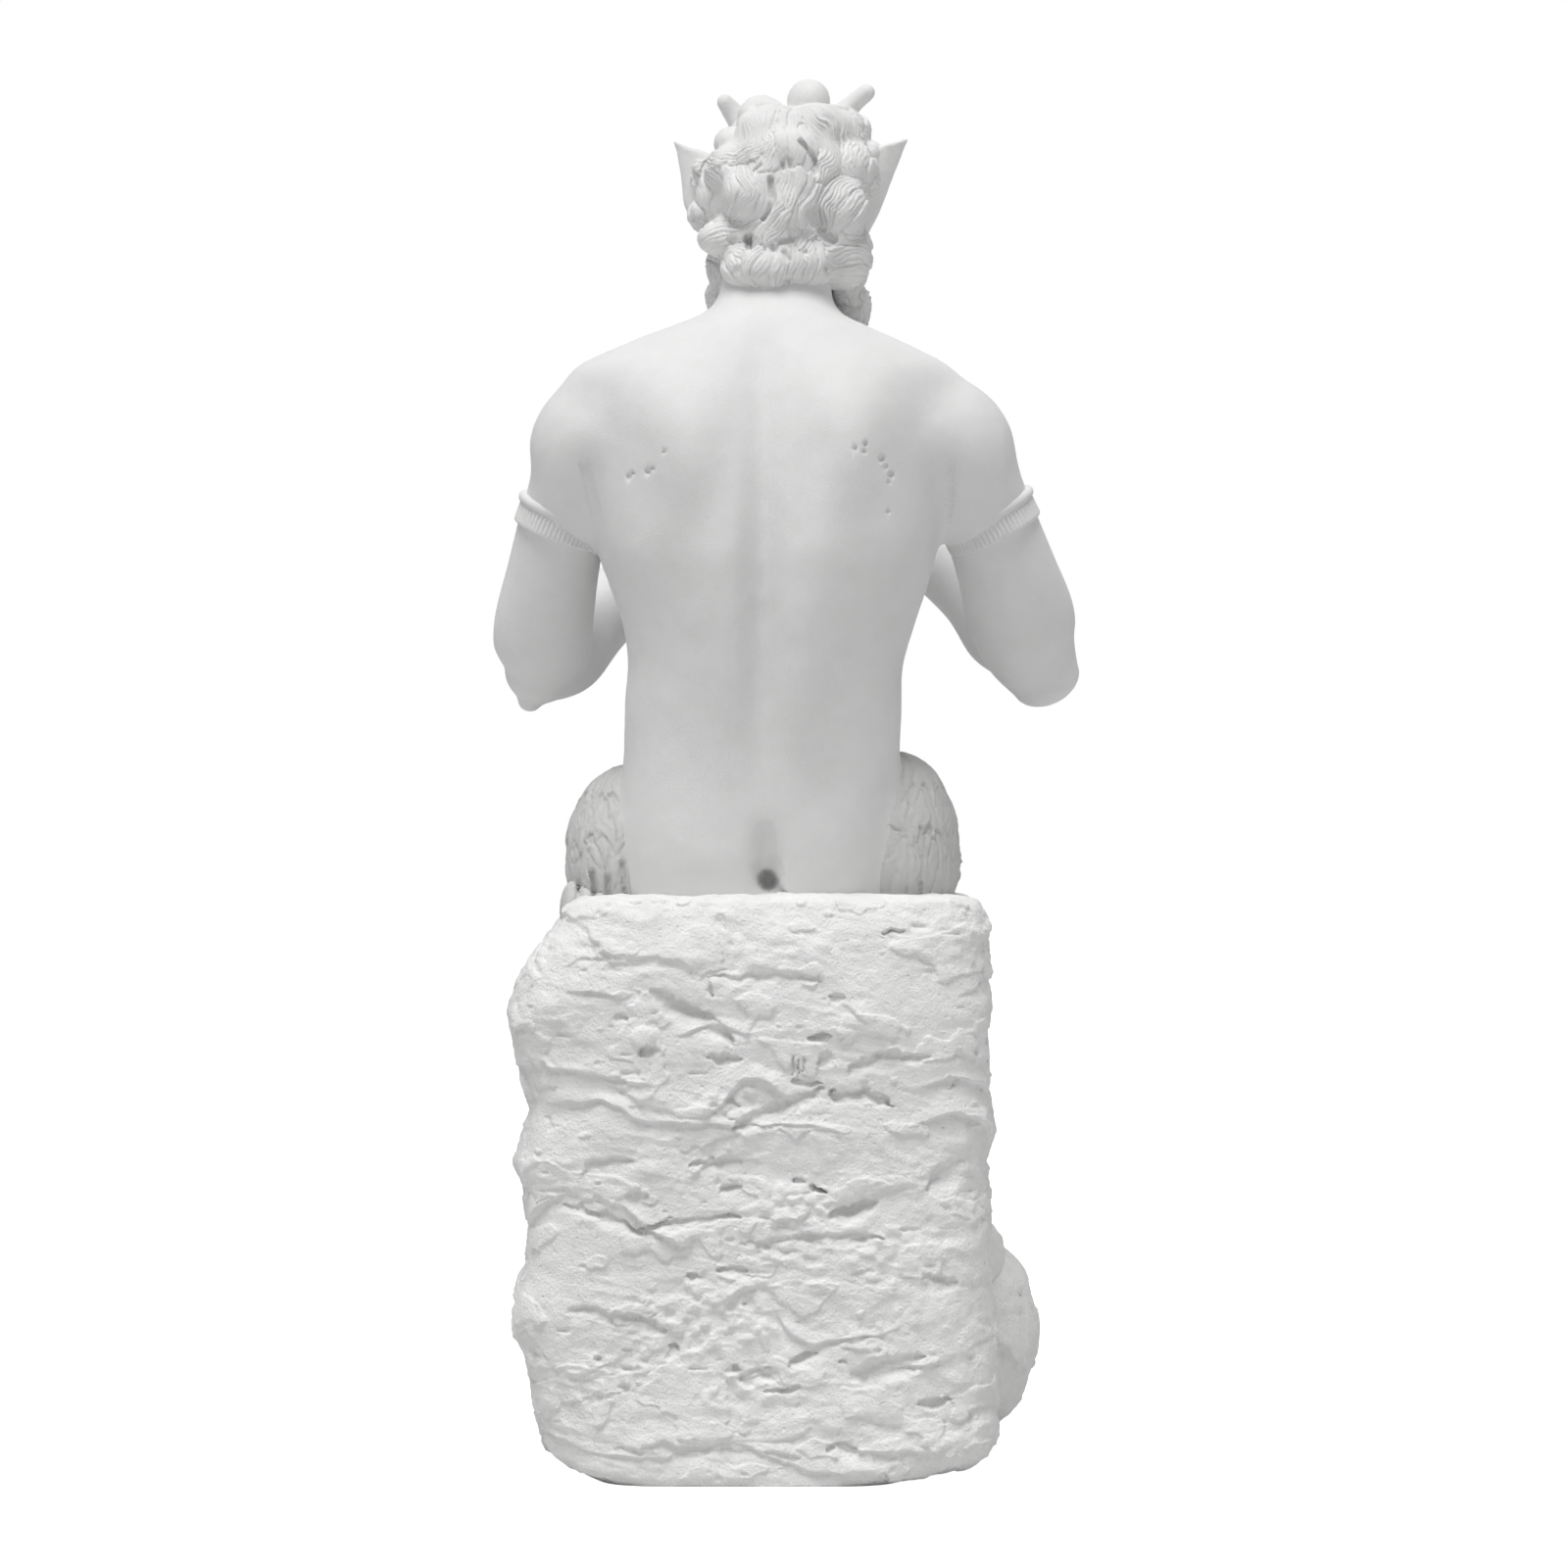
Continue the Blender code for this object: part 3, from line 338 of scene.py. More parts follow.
def stoneTone():
    # Colour and roughness: large pale clouds mixed with finer mottling, smoother where lighter.
    tree, given, made = groupWith(
        "stoneTone",
        {
            "Position": (0, 0, 0),
            "Light stone": (0.9, 0.9, 0.89, 1),
            "Dull stone": (0.8, 0.8, 0.79, 1),
            "Cloud size": 9.0,
            "Mottle size": 60.0,
            "Mottle": 0.4,
        },
        {"Color": "NodeSocketColor", "Roughness": "NodeSocketFloat"},
    )
    cloud = addNode(
        tree,
        "ShaderNodeTexNoise",
        {"Vector": given["Position"], "Scale": given["Cloud size"], "Detail": 4},
    )
    mottle = addNode(
        tree,
        "ShaderNodeTexNoise",
        {"Vector": given["Position"], "Scale": given["Mottle size"], "Detail": 6, "Roughness": 0.65},
    )
    both = addNode(
        tree,
        "ShaderNodeMix",
        {"Factor": given["Mottle"], "A": cloud.outputs["Fac"], "B": mottle.outputs["Fac"]},
    ).outputs["Result"]
    spread = addNode(tree, "ShaderNodeMapRange", {"Value": both, "From Min": 0.32, "From Max": 0.68})
    tint = addNode(
        tree,
        "ShaderNodeMix",
        {"Factor": spread.outputs["Result"], "A": given["Dull stone"], "B": given["Light stone"]},
        dataType="RGBA",
    )
    rough = addNode(tree, "ShaderNodeMapRange", {"Value": both, "To Min": 0.74, "To Max": 0.58})
    tree.links.new(tint.outputs["Result"], made["Color"])
    tree.links.new(rough.outputs["Result"], made["Roughness"])
    return tree


def stoneGrain():
    # Height of the grain: fine crystals, and pores where a cell pattern dips under a limit.
    tree, given, made = groupWith(
        "stoneGrain",
        {"Position": (0, 0, 0), "Grain size": 600.0, "Pore size": 140.0, "Pores": 0.2},
        {"Height": "NodeSocketFloat"},
    )
    place = given["Position"]
    grain = addNode(
        tree,
        "ShaderNodeTexNoise",
        {"Vector": place, "Scale": given["Grain size"], "Detail": 3, "Roughness": 0.7},
    )
    pore = addNode(tree, "ShaderNodeTexVoronoi", {"Vector": place, "Scale": given["Pore size"]})
    dip = addNode(tree, "ShaderNodeMapRange", {"Value": pore.outputs["Distance"], "From Max": 0.25})
    mix = addNode(
        tree,
        "ShaderNodeMix",
        {"Factor": given["Pores"], "A": grain.outputs["Fac"], "B": dip.outputs["Result"]},
    )
    tree.links.new(mix.outputs["Result"], made["Height"])
    return tree


toneGroup, grainGroup = stoneTone(), stoneGrain()


def stoneMaterial(name, tones, grains, bump):
    # Light and dull stone by the tone group, with the grain group's height as a bump.
    made = bpy.data.materials.new(name)
    made.use_nodes = True
    tree = made.node_tree
    shader = tree.nodes["Principled BSDF"]
    shader.inputs["Specular IOR Level"].default_value = 0.35
    place = addNode(tree, "ShaderNodeTexCoord", {}).outputs["Object"]
    tone, grain = tree.nodes.new("ShaderNodeGroup"), tree.nodes.new("ShaderNodeGroup")
    tone.node_tree, grain.node_tree = toneGroup, grainGroup
    for group, values in ((tone, tones), (grain, grains)):
        tree.links.new(place, group.inputs["Position"])
        for label, value in values.items():
            group.inputs[label].default_value = (*value, 1) if np.size(value) == 3 else value
    strength, distance = bump
    rise = addNode(
        tree,
        "ShaderNodeBump",
        {"Height": grain.outputs["Height"], "Strength": strength, "Distance": distance},
    )
    tree.links.new(rise.outputs["Normal"], shader.inputs["Normal"])
    tree.links.new(tone.outputs["Color"], shader.inputs["Base Color"])
    tree.links.new(tone.outputs["Roughness"], shader.inputs["Roughness"])
    return made


# Light and dull colour, fineness of clouds and mottling and the mottling's share,
# then fineness of grain and pores and the pores' share, then the bump's strength and distance
stones = {
    "skinStone": ((0.80, 0.80, 0.80), (0.735, 0.735, 0.73), 7, 45, 0.35, 700, 260, 0.12, 0.5, 0.001),
    "hairStone": ((0.85, 0.85, 0.845), (0.76, 0.76, 0.755), 14, 70, 0.4, 700, 220, 0.2, 0.6, 0.001),
    # the fur's light and dull colour are painted shade: the same stone as the skin, made darker for fur that lies
    # in shadow
    "furPaintedShadeStone": ((0.64, 0.64, 0.635), (0.54, 0.54, 0.53), 14, 70, 0.4, 700, 200, 0.2, 0.6, 0.0012),
    "rockStone": ((0.92, 0.92, 0.915), (0.81, 0.81, 0.80), 10, 80, 0.5, 330, 110, 0.3, 1.0, 0.0028),
}
toneLabels = ("Light stone", "Dull stone", "Cloud size", "Mottle size", "Mottle")
grainLabels = ("Grain size", "Pore size", "Pores")
skinStone, hairStone, furPaintedShadeStone, rockStone = (
    stoneMaterial(name, dict(zip(toneLabels, v[:5])), dict(zip(grainLabels, v[5:8])), v[8:])
    for name, v in stones.items()
)
print("materials ready")

# Trunk and neck: height above the seat, x of the middle, half width, front, back
torsoSizes = {
    "softVoxel": 0.0042,
    "voxel": 0.0022,
    "triangles": 112000,
    "squareness": 2.3,
    "around": 220,
    "relief": 1.35,
    "rings": [
        (-0.030, 0.014, 0.122, 0.100, 0.088), (0.000, 0.016, 0.129, 0.115, 0.093),
        (0.030, 0.016, 0.136, 0.125, 0.099), (0.065, 0.014, 0.138, 0.128, 0.103),
        (0.108, 0.010, 0.138, 0.125, 0.107), (0.150, 0.007, 0.138, 0.112, 0.112),
        (0.190, 0.006, 0.138, 0.102, 0.119), (0.225, 0.004, 0.137, 0.098, 0.127),
        (0.265, 0.001, 0.145, 0.104, 0.136), (0.304, 0.001, 0.158, 0.114, 0.142),
        (0.343, 0.002, 0.170, 0.124, 0.146), (0.400, 0.004, 0.178, 0.130, 0.144),
        (0.450, 0.004, 0.184, 0.122, 0.136), (0.490, 0.005, 0.192, 0.100, 0.122),
        (0.520, 0.006, 0.193, 0.080, 0.106), (0.545, 0.004, 0.146, 0.070, 0.090),
        (0.565, 0.000, 0.098, 0.064, 0.076), (0.580, -0.004, 0.066, 0.064, 0.062),
        (0.600, -0.006, 0.056, 0.070, 0.044), (0.640, -0.010, 0.054, 0.088, 0.028),
    ],
    # x, height, reach in x, reach in height, rise
    "back": [
        (0.100, 0.480, 0.046, 0.048, 0.012), (0.084, 0.425, 0.040, 0.050, 0.011),
        (-0.090, 0.480, 0.046, 0.048, 0.012), (-0.094, 0.422, 0.040, 0.050, 0.010),
        (0.042, 0.430, 0.018, 0.060, -0.004), (-0.040, 0.430, 0.018, 0.060, -0.004),
        (0.006, 0.380, 0.019, 0.120, -0.011), (0.008, 0.235, 0.017, 0.110, -0.010),
        (0.006, 0.490, 0.024, 0.060, -0.006), (0.052, 0.300, 0.030, 0.090, 0.005),
        (-0.042, 0.290, 0.030, 0.100, 0.005), (0.042, 0.190, 0.024, 0.080, 0.004),
        (-0.030, 0.180, 0.022, 0.070, 0.004), (0.128, 0.345, 0.028, 0.045, 0.005),
        (-0.128, 0.340, 0.028, 0.045, 0.005), (0.078, 0.042, 0.055, 0.050, 0.004),
        (-0.056, 0.042, 0.055, 0.050, 0.004), (0.003, 0.024, 0.014, 0.036, -0.014),
    ],
    "front": [
        (0.078, 0.440, 0.062, 0.046, 0.020), (-0.078, 0.440, 0.062, 0.046, 0.020),
        (0.000, 0.430, 0.014, 0.070, -0.008), (0.000, 0.350, 0.050, 0.030, -0.006),
        (0.034, 0.300, 0.026, 0.024, 0.007), (-0.034, 0.300, 0.026, 0.024, 0.007),
        (0.034, 0.242, 0.026, 0.024, 0.006), (-0.034, 0.242, 0.026, 0.024, 0.006),
        (0.000, 0.270, 0.008, 0.080, -0.006), (0.000, 0.140, 0.075, 0.060, 0.010),
        (0.000, 0.185, 0.008, 0.009, -0.010), (0.082, 0.412, 0.006, 0.006, 0.004),
        (-0.082, 0.412, 0.006, 0.006, 0.004), (0.050, 0.532, 0.050, 0.009, 0.007),
        (-0.050, 0.532, 0.050, 0.009, 0.007), (0.000, 0.522, 0.012, 0.014, -0.008),
    ],
    # the muscle that joins each arm to the back, then the flesh under each hip's fur: middle and radii
    "swells": [
        ((0.157, 0.034, 0.452), (0.052, 0.052, 0.050)), ((-0.153, 0.034, 0.452), (0.054, 0.052, 0.050)),
        ((0.160, 0.008, 0.462), (0.067, 0.060, 0.065)), ((-0.150, 0.008, 0.462), (0.067, 0.060, 0.065)),
        ((0.132, -0.046, 0.034), (0.0665, 0.090, 0.088)), ((-0.120, -0.046, 0.039), (0.0645, 0.090, 0.097)),
    ],
    "soft": [
        (0.156, 0.040, 0.030, 0.090), (-0.126, 0.040, 0.030, 0.090), (0.156, 0.030, 0.090, 0.070),
        (-0.126, 0.030, 0.095, 0.070), (0.165, 0.050, 0.445, 0.130), (-0.165, 0.050, 0.445, 0.130),
        (0.160, -0.050, 0.470, 0.090), (-0.160, -0.050, 0.470, 0.090), (0.000, 0.020, 0.585, 0.080),
    ],
    "softRounds": 55,
    "toolMarks": 0.0005,
    # creases behind the armpits, the cleft's hole and the soft shade over it:
    # radius, depth, x and height along the line
    "creases": [
        (0.0045, 0.0040, [(0.182, 0.424), (0.174, 0.390), (0.164, 0.350), (0.153, 0.308)]),
        (0.0040, 0.0032, [(-0.178, 0.424), (-0.178, 0.395), (-0.174, 0.365)]),
        (0.0078, 0.0340, [(0.002, 0.0155), (0.000, 0.0125)]),
        (0.0045, 0.0140, [(-0.006, 0.008), (-0.012, 0.000)]),
        (0.0110, 0.0070, [(0.002, 0.026), (0.001, 0.018)]),
        (0.0075, 0.0026, [(0.004, 0.062), (0.003, 0.044), (0.002, 0.028)]),
    ],
    # chips in the skin: x, height, radius, depth
    "chips": [
        (0.137, 0.411, 0.0023, 0.0044), (0.133, 0.414, 0.0017, 0.0036), (0.118, 0.415, 0.0026, 0.0048),
        (0.113, 0.418, 0.0017, 0.0036), (0.102, 0.434, 0.0017, 0.0032), (-0.084, 0.437, 0.0019, 0.0036),
        (-0.094, 0.441, 0.0019, 0.0040), (-0.093, 0.434, 0.0017, 0.0036), (-0.110, 0.427, 0.0026, 0.0052),
        (-0.114, 0.420, 0.0020, 0.0040), (-0.119, 0.412, 0.0026, 0.0052), (-0.117, 0.405, 0.0017, 0.0032),
        (-0.116, 0.376, 0.0017, 0.0032),
    ],
}
# Arms: x, y, height above the seat, half width, half depth. The armlet lies at the fourth station.
armSizes = {
    "voxel": 0.0022,
    "triangles": 66000,
    "left": [
        (0.110, 0.012, 0.462, 0.050, 0.056), (0.168, 0.006, 0.450, 0.068, 0.068),
        (0.186, -0.012, 0.410, 0.056, 0.064), (0.207, -0.032, 0.372, 0.044, 0.052),
        (0.218, -0.053, 0.323, 0.046, 0.052), (0.2285, -0.076, 0.270, 0.0500, 0.048),
        (0.230, -0.090, 0.240, 0.0485, 0.042), (0.235, -0.099, 0.212, 0.031, 0.030),
        (0.244, -0.102, 0.192, 0.013, 0.012),
    ],
    "leftFore": [
        (0.234, -0.097, 0.221, 0.036, 0.033), (0.215, -0.134, 0.238, 0.047, 0.042),
        (0.182, -0.180, 0.272, 0.038, 0.042), (0.142, -0.224, 0.312, 0.034, 0.034),
        (0.108, -0.256, 0.348, 0.027, 0.023), (0.096, -0.262, 0.376, 0.028, 0.020),
    ],
    "right": [
        (-0.110, 0.012, 0.462, 0.050, 0.056), (-0.172, 0.006, 0.450, 0.066, 0.068),
        (-0.196, -0.012, 0.410, 0.058, 0.064), (-0.221, -0.032, 0.372, 0.0465, 0.052),
        (-0.239, -0.053, 0.323, 0.050, 0.052), (-0.254, -0.076, 0.278, 0.0545, 0.048),
        (-0.264, -0.092, 0.246, 0.0485, 0.042), (-0.281, -0.101, 0.213, 0.036, 0.026),
    ],
    "rightFore": [
        (-0.262, -0.096, 0.238, 0.036, 0.034), (-0.242, -0.134, 0.264, 0.046, 0.042),
        (-0.205, -0.180, 0.304, 0.032, 0.042), (-0.166, -0.222, 0.345, 0.034, 0.034),
        (-0.138, -0.254, 0.380, 0.027, 0.023), (-0.130, -0.262, 0.402, 0.028, 0.020),
    ],
    "soft": [
        (0.235, -0.110, 0.235, 0.070), (-0.262, -0.110, 0.250, 0.070), (0.094, -0.262, 0.380, 0.050),
        (-0.130, -0.262, 0.400, 0.050),
    ],
    "softRounds": 14,
}
bandStation = 3


def drill(mesh, holes):
    # Pits seen from behind: each (x, z, radius, depth) pushes the rear skin in along Y by
    # depth * (1 - share of the reach squared).
    points, normals = getPoints(mesh), getNormals(mesh)
    sink = np.zeros(len(points))
    for x, z, radius, depth in holes:
        away = np.hypot(points[:, 0] - x, points[:, 2] - z) / (radius * 1.5)
        sink = np.maximum(sink, depth * np.clip(1 - away**2, 0, 1))
    points[:, 1] -= sink * np.clip(normals[:, 1] * 2, 0, 1)
    setPoints(mesh, points)


def alongLines(lines, middle):
    # Holes in a close row through each line's points, which are measured from the middle.
    holes = []
    for radius, depth, line in lines:
        rows = throughRows(line, 6) if len(line) > 1 else np.array(line)
        holes += [(x + middle[0], height + middle[1], radius, depth) for x, height in rows]
    return holes


def trunkForm():
    # Level rings whose outline is |cos|, |sin| raised to 2/squareness, with bumps added to their depth.
    s = torsoSizes
    angle = np.linspace(0, 2 * np.pi, s["around"], endpoint=False)[None, :]
    rows = throughRows(s["rings"], 10)
    height, middle, halfWidth, front, back = (rows[:, i : i + 1] for i in range(5))
    cos, sin = np.cos(angle), np.sin(angle)
    power = 2 / s["squareness"]
    x = middle + halfWidth * np.sign(cos) * np.abs(cos) ** power
    y = np.where(sin > 0, back, front) * np.sign(sin) * np.abs(sin) ** power
    y = y + np.clip(sin, 0, 1) ** 0.5 * s["relief"] * swellings(x, height, s["back"])
    y = y - np.clip(-sin, 0, 1) ** 0.5 * swellings(x, height, s["front"])
    return closeRings(np.stack([x, y, height + seat + 0 * x], -1))


def makeTorso():
    # Trunk, shoulders and flanks worked soft together, then faint tool marks, creases and chips.
    s = torsoSizes
    forms = [trunkForm()]
    for side in ("left", "right"):
        forms.append(tube(onSeat(armSizes[side][: bandStation + 1]), around=40, perSpan=8))
    forms += [seatEgg(centre, radii, 48) for centre, radii in s["swells"]]
    soft = softened(forms, s["softVoxel"], 2, s["soft"], s["softRounds"])
    piece = fuse("torso", [soft], s["voxel"])
    relax(piece.data, 8)
    raised(piece.data, s["toolMarks"] * layers(getPoints(piece.data), (0.030, 0.030, 0.030), 3))
    drill(piece.data, alongLines(s["creases"], (0, seat)))
    drill(piece.data, [(x, height + seat, radius, depth) for x, height, radius, depth in s["chips"]])
    thin(piece, s["triangles"])
    finishPiece(piece, skinStone)


# Pan pipes: mouth end of the longest, the way they point, and their spacing and sizes
pipeSizes = {
    "top": (0.046, -0.160, 0.634),
    "way": (0.0, -0.35, -0.937),
    "count": 9,
    "pitch": 0.0155,
    "radius": 0.0085,
    "bore": 0.0058,
    "boreDepth": 0.014,
    "length": 0.205,
    "step": 0.0115,
    "straps": (0.040, 0.086),
}
# A left hand: wrist, knuckles, finger bend, fingertips, then the thumb's root, joint and tip
handSizes = {
    "points": [
        (0.098, -0.262, 0.368), (0.084, -0.246, 0.452), (0.060, -0.262, 0.456), (0.030, -0.254, 0.458),
        (0.094, -0.250, 0.400), (0.078, -0.214, 0.446), (0.048, -0.202, 0.470),
    ],
    "spread": (0.030, 0.011, -0.008, -0.026),
    "rightLift": 0.028,
}


def handForms():
    # Palm, four fingers round the front of the pipes and a thumb behind them, on each side.
    forms = []
    middle = pipeSizes["top"][0] - pipeSizes["pitch"] * (pipeSizes["count"] - 1) / 2
    for mirrored in (False, True):
        points = np.array(handSizes["points"])
        if mirrored:
            points[:, 0] = 2 * middle - points[:, 0]
            points[:, 2] += handSizes["rightLift"]
        wrist, knuckles, bend, tips, root, joint, thumb = points
        arch = [0.004 * (1 - 2 * mirrored), -0.004, 0]
        palm = [(*wrist, 0.026, 0.018), (*((wrist + knuckles) / 2), 0.036, 0.017), (*knuckles, 0.038, 0.014)]
        forms.append(tube(onSeat(palm), side=(0, 1, 0.3)))
        for i, spread in enumerate(handSizes["spread"]):
            rise = np.array([0, 0, spread])
            size = 0.0100 - 0.0006 * abs(i - 1)
            start, mid, end = knuckles + rise, bend + rise, tips + rise
            finger = [
                (*(start * 0.7 + wrist * 0.3 + rise * 0.3), size * 0.8, size * 0.8),
                (*start, size * 1.12, size * 1.12),
                (*(start * 0.5 + mid * 0.5 + arch), size * 0.96, size * 0.96),
                (*mid, size * 1.06, size * 1.06),
                (*(mid * 0.45 + end * 0.55), size * 0.92, size * 0.92),
                (*end, size * 0.84, size * 0.80),
            ]
            forms.append(tube(onSeat(finger), side=(0, 0, 1), around=20))
        ball = (root + joint) / 2
        line = [(*root, 0.016, 0.016), (*ball, 0.0135, 0.013)]
        line += [(*joint, 0.0125, 0.012), (*thumb, 0.0095, 0.0085)]
        forms.append(tube(onSeat(line), around=20))
    return forms


def makeArms():
    # Hands and arms fused below the armlets, then softened at the elbows and wrists.
    forms = handForms()
    for side in ("left", "right"):
        forms.append(tube(onSeat(armSizes[side][bandStation:]), around=40, perSpan=8))
        forms.append(tube(onSeat(armSizes[side + "Fore"]), around=36, perSpan=8))
    piece = fuse("arms", forms, armSizes["voxel"])
    relax(piece.data, 2)
    relax(piece.data, armSizes["softRounds"], armSizes["soft"])
    thin(piece, armSizes["triangles"])
    finishPiece(piece, skinStone)


# Armlets: a plain raised rim over a band of upright ribs
bandSizes = {
    "height": 0.031,
    "proud": 0.0055,
    "ribs": 62,
    "ribDepth": 0.0018,
    "lean": 0.35,
    "deepen": 1.05,
    # share of the height, share of the standing out, share of the ribs' depth
    "profile": [
        (-0.50, -0.6, 0), (-0.49, 0.35, 0), (-0.44, 0.62, 0.3), (-0.36, 0.66, 1), (-0.1, 0.66, 1),
        (0.10, 0.66, 1), (0.15, 0.62, 0.3), (0.18, 0.60, 0), (0.22, 1.05, 0), (0.30, 1.25, 0),
        (0.38, 1.25, 0), (0.46, 1.0, 0), (0.50, 0.5, 0), (0.51, -0.6, 0),
    ],
}


def makeArmlets():
    # Rings round the arm: the profile across the band is a rounded rim above a ribbed strip.
    s = bandSizes
    forms = []
    profile = np.array(s["profile"])
    place, out, ribbed = (profile[:, i : i + 1] for i in range(3))
    angle = np.linspace(0, 2 * np.pi, s["ribs"] * 8, endpoint=False)[None, :]
    rib = s["ribDepth"] * ribbed * (np.abs(np.sin(angle * s["ribs"] / 2)) ** 0.6 - 1)
    reach = out * s["proud"] + rib
    for side in ("left", "right"):
        stations = onSeat(armSizes[side])
        at = throughRows(stations, 8)[bandStation * 8]
        along = stations[bandStation - 1][:3] - stations[bandStation + 1][:3]
        along[1] *= s["lean"]
        along /= np.linalg.norm(along)
        across = np.array([1.0, 0, 0]) - along * along[0]
        across /= np.linalg.norm(across)
        other = np.cross(along, across)
        rings = at[:3] + along * (place * s["height"])[..., None]
        rings = rings + across * ((at[3] + reach) * np.cos(angle))[..., None]
        rings = rings + other * ((at[4] * s["deepen"] + reach) * np.sin(angle))[..., None]
        forms.append(closeRings(rings))
    finishPiece(placed("armlets", meshFrom("armlets", forms)), skinStone)


def makePipes():
    # Each pipe is a profile turned round its axis: outer wall, rounded lip, bore and its floor.
    forms = []
    s = pipeSizes
    way = np.array(s["way"]) / np.linalg.norm(s["way"])
    across = np.array([1.0, 0, 0])
    other = np.cross(way, across)
    start = np.array(s["top"]) + [0, 0, seat]
    angle = np.linspace(0, 2 * np.pi, 28, endpoint=False)[None, :]
    for i in range(s["count"]):
        length = s["length"] - s["step"] * i
        r, b = s["radius"], s["bore"]
        profile = [(s["boreDepth"], b * 0.2), (s["boreDepth"], b), (0.001, b)]
        profile += [(-0.0004, (r + b) / 2 - 0.0008), (-0.0004, (r + b) / 2 + 0.0008), (0.001, r)]
        profile += [(length * k, r * (1 + 0.03 * np.sin(9 * k + i))) for k in np.linspace(0.05, 0.97, 14)]
        profile += [(length - 0.001, r * 0.97), (length, r * 0.8), (length, r * 0.2)]
        profile = np.array(profile)
        axis = start - across * s["pitch"] * i + way * profile[:, :1]
        rings = axis[:, None] + (profile[:, 1:2] * np.cos(angle))[..., None] * across
        rings = rings + (profile[:, 1:2] * np.sin(angle))[..., None] * other
        forms.append(closeRings(rings))
    total = s["pitch"] * (s["count"] - 1) + 2 * s["radius"]
    for down in s["straps"]:
        a = start + way * down + across * (s["radius"] - 0.004)
        c = a - across * (total - 0.008)
        deep = s["radius"] + 0.0035
        shares = np.linspace(0, 1, 73)
        row = [(*(a + (c - a) * k), 0.010, deep * (1 - 0.05 * np.cos(2 * np.pi * 9 * k))) for k in shares]
        forms.append(tube(row, side=way, around=20, perSpan=1))
    finishPiece(placed("panPipes", meshFrom("panPipes", forms)), skinStone)


makeTorso()
makeArms()
makeArmlets()
makePipes()
print("trunk, arms and pipes ready")

# Locks: each is a line laid on a surface with a width and a height, raised from the fused skin


def layLock(controls, outs, perSpan=6):
    # Centre line, half width and height through the controls, with the way out from the surface.
    rows = throughRows(np.hstack([np.array(controls, float), np.array(outs, float)]), perSpan)
    centre, wide, high, out = rows[:, :3], rows[:, 3], rows[:, 4], rows[:, 5:8]
    way = np.gradient(centre, axis=0)
    way /= np.linalg.norm(way, axis=1, keepdims=True)
    out = out - way * (out * way).sum(1, keepdims=True)
    out /= np.linalg.norm(out, axis=1, keepdims=True)
    return {"centre": centre, "wide": wide, "high": high, "way": way, "out": out, "side": np.cross(way, out)}


def lockForm(lock, around=16):
    # A lock's half width and height carried along its line, with ends 0.7 half widths long.
    line = (lock["centre"], lock["wide"], lock["high"], lock["way"])
    ends = (lock["wide"][0] * 0.7, lock["wide"][-1] * 0.7)
    return sweep(line, lock["side"], lock["out"], ends, [80, 55, 28], around)


def carveLocks(mesh, locks, look):
    # A point belongs to the lock whose line lies nearest, measured in that lock's half widths. It rises
    # as a half ellipse across the lock plus a step of the lock's own, less its strands and valleys.
    points, normals = getPoints(mesh), getNormals(mesh)
    warp = np.stack([layers(points, (0.024, 0.024, 0.024), 2, 5.0 + 7 * i) for i in range(3)], -1)
    bent = points + look["bend"] * warp
    stray = 0.20 * layers(points, (0.014, 0.014, 0.014), 2, 60.0)
    fade = look["depth"] * np.clip(0.75 + 0.8 * noise(points, (0.020, 0.020, 0.020), 70.0), 0.2, 1.3)
    best, second, rise = np.full(len(points), 9.0), np.full(len(points), 9.0), np.zeros(len(points))
    for number, lock in enumerate(locks):
        wide = lock["wide"] * look["spread"]
        reach = 1.9 * wide.max() + 0.010
        low, high = lock["centre"].min(0) - reach, lock["centre"].max(0) + reach
        close = np.flatnonzero(((bent > low) & (bent < high)).all(1))
        if not len(close):
            continue
        away = bent[close, None] - lock["centre"][None]
        pick = (away**2).sum(-1).argmin(1)
        away = away[np.arange(len(close)), pick]
        across = (away * lock["side"][pick]).sum(1) / wide[pick]
        beyond = (away * lock["way"][pick]).sum(1) / wide[pick]
        above = np.abs((away * lock["out"][pick]).sum(1))
        size = np.sqrt(across**2 + beyond**2) + 9 * (above > look["reach"])
        mine = size < best[close]
        second[close] = np.where(mine, best[close], np.minimum(second[close], size))
        close, across, size, pick = (values[mine] for values in (close, across, size, pick))
        strands = max(2, round(2 * wide.max() / look["pitch"]))
        sway = 0.20 * np.sin(0.42 * pick + 1.7 * number) * np.clip(1 - across**2, 0, 1)
        turns = np.pi * strands * (across + sway + stray[close] + 1)
        wave = 0.5 + 0.34 * np.cos(turns) + 0.16 * np.cos(1.63 * turns + number)
        body = lock["high"][pick] * np.sqrt(np.clip(1 - (size / 1.45) ** 2, 0, 1))
        step = look["step"] * (number * 0.618 % 1)
        best[close] = size
        rise[close] = (body + step - fade[close] * wave**1.3) * np.clip((1.75 - size) / 0.25, 0, 1)
    rise = rise - look["valley"] * np.clip(1 - (second - best) / 0.22, 0, 1) * (best < 1.6)
    rise = rise * (1 - 0.85 * near(points, look.get("calm", [])))
    setPoints(mesh, points + normals * rise[:, None])


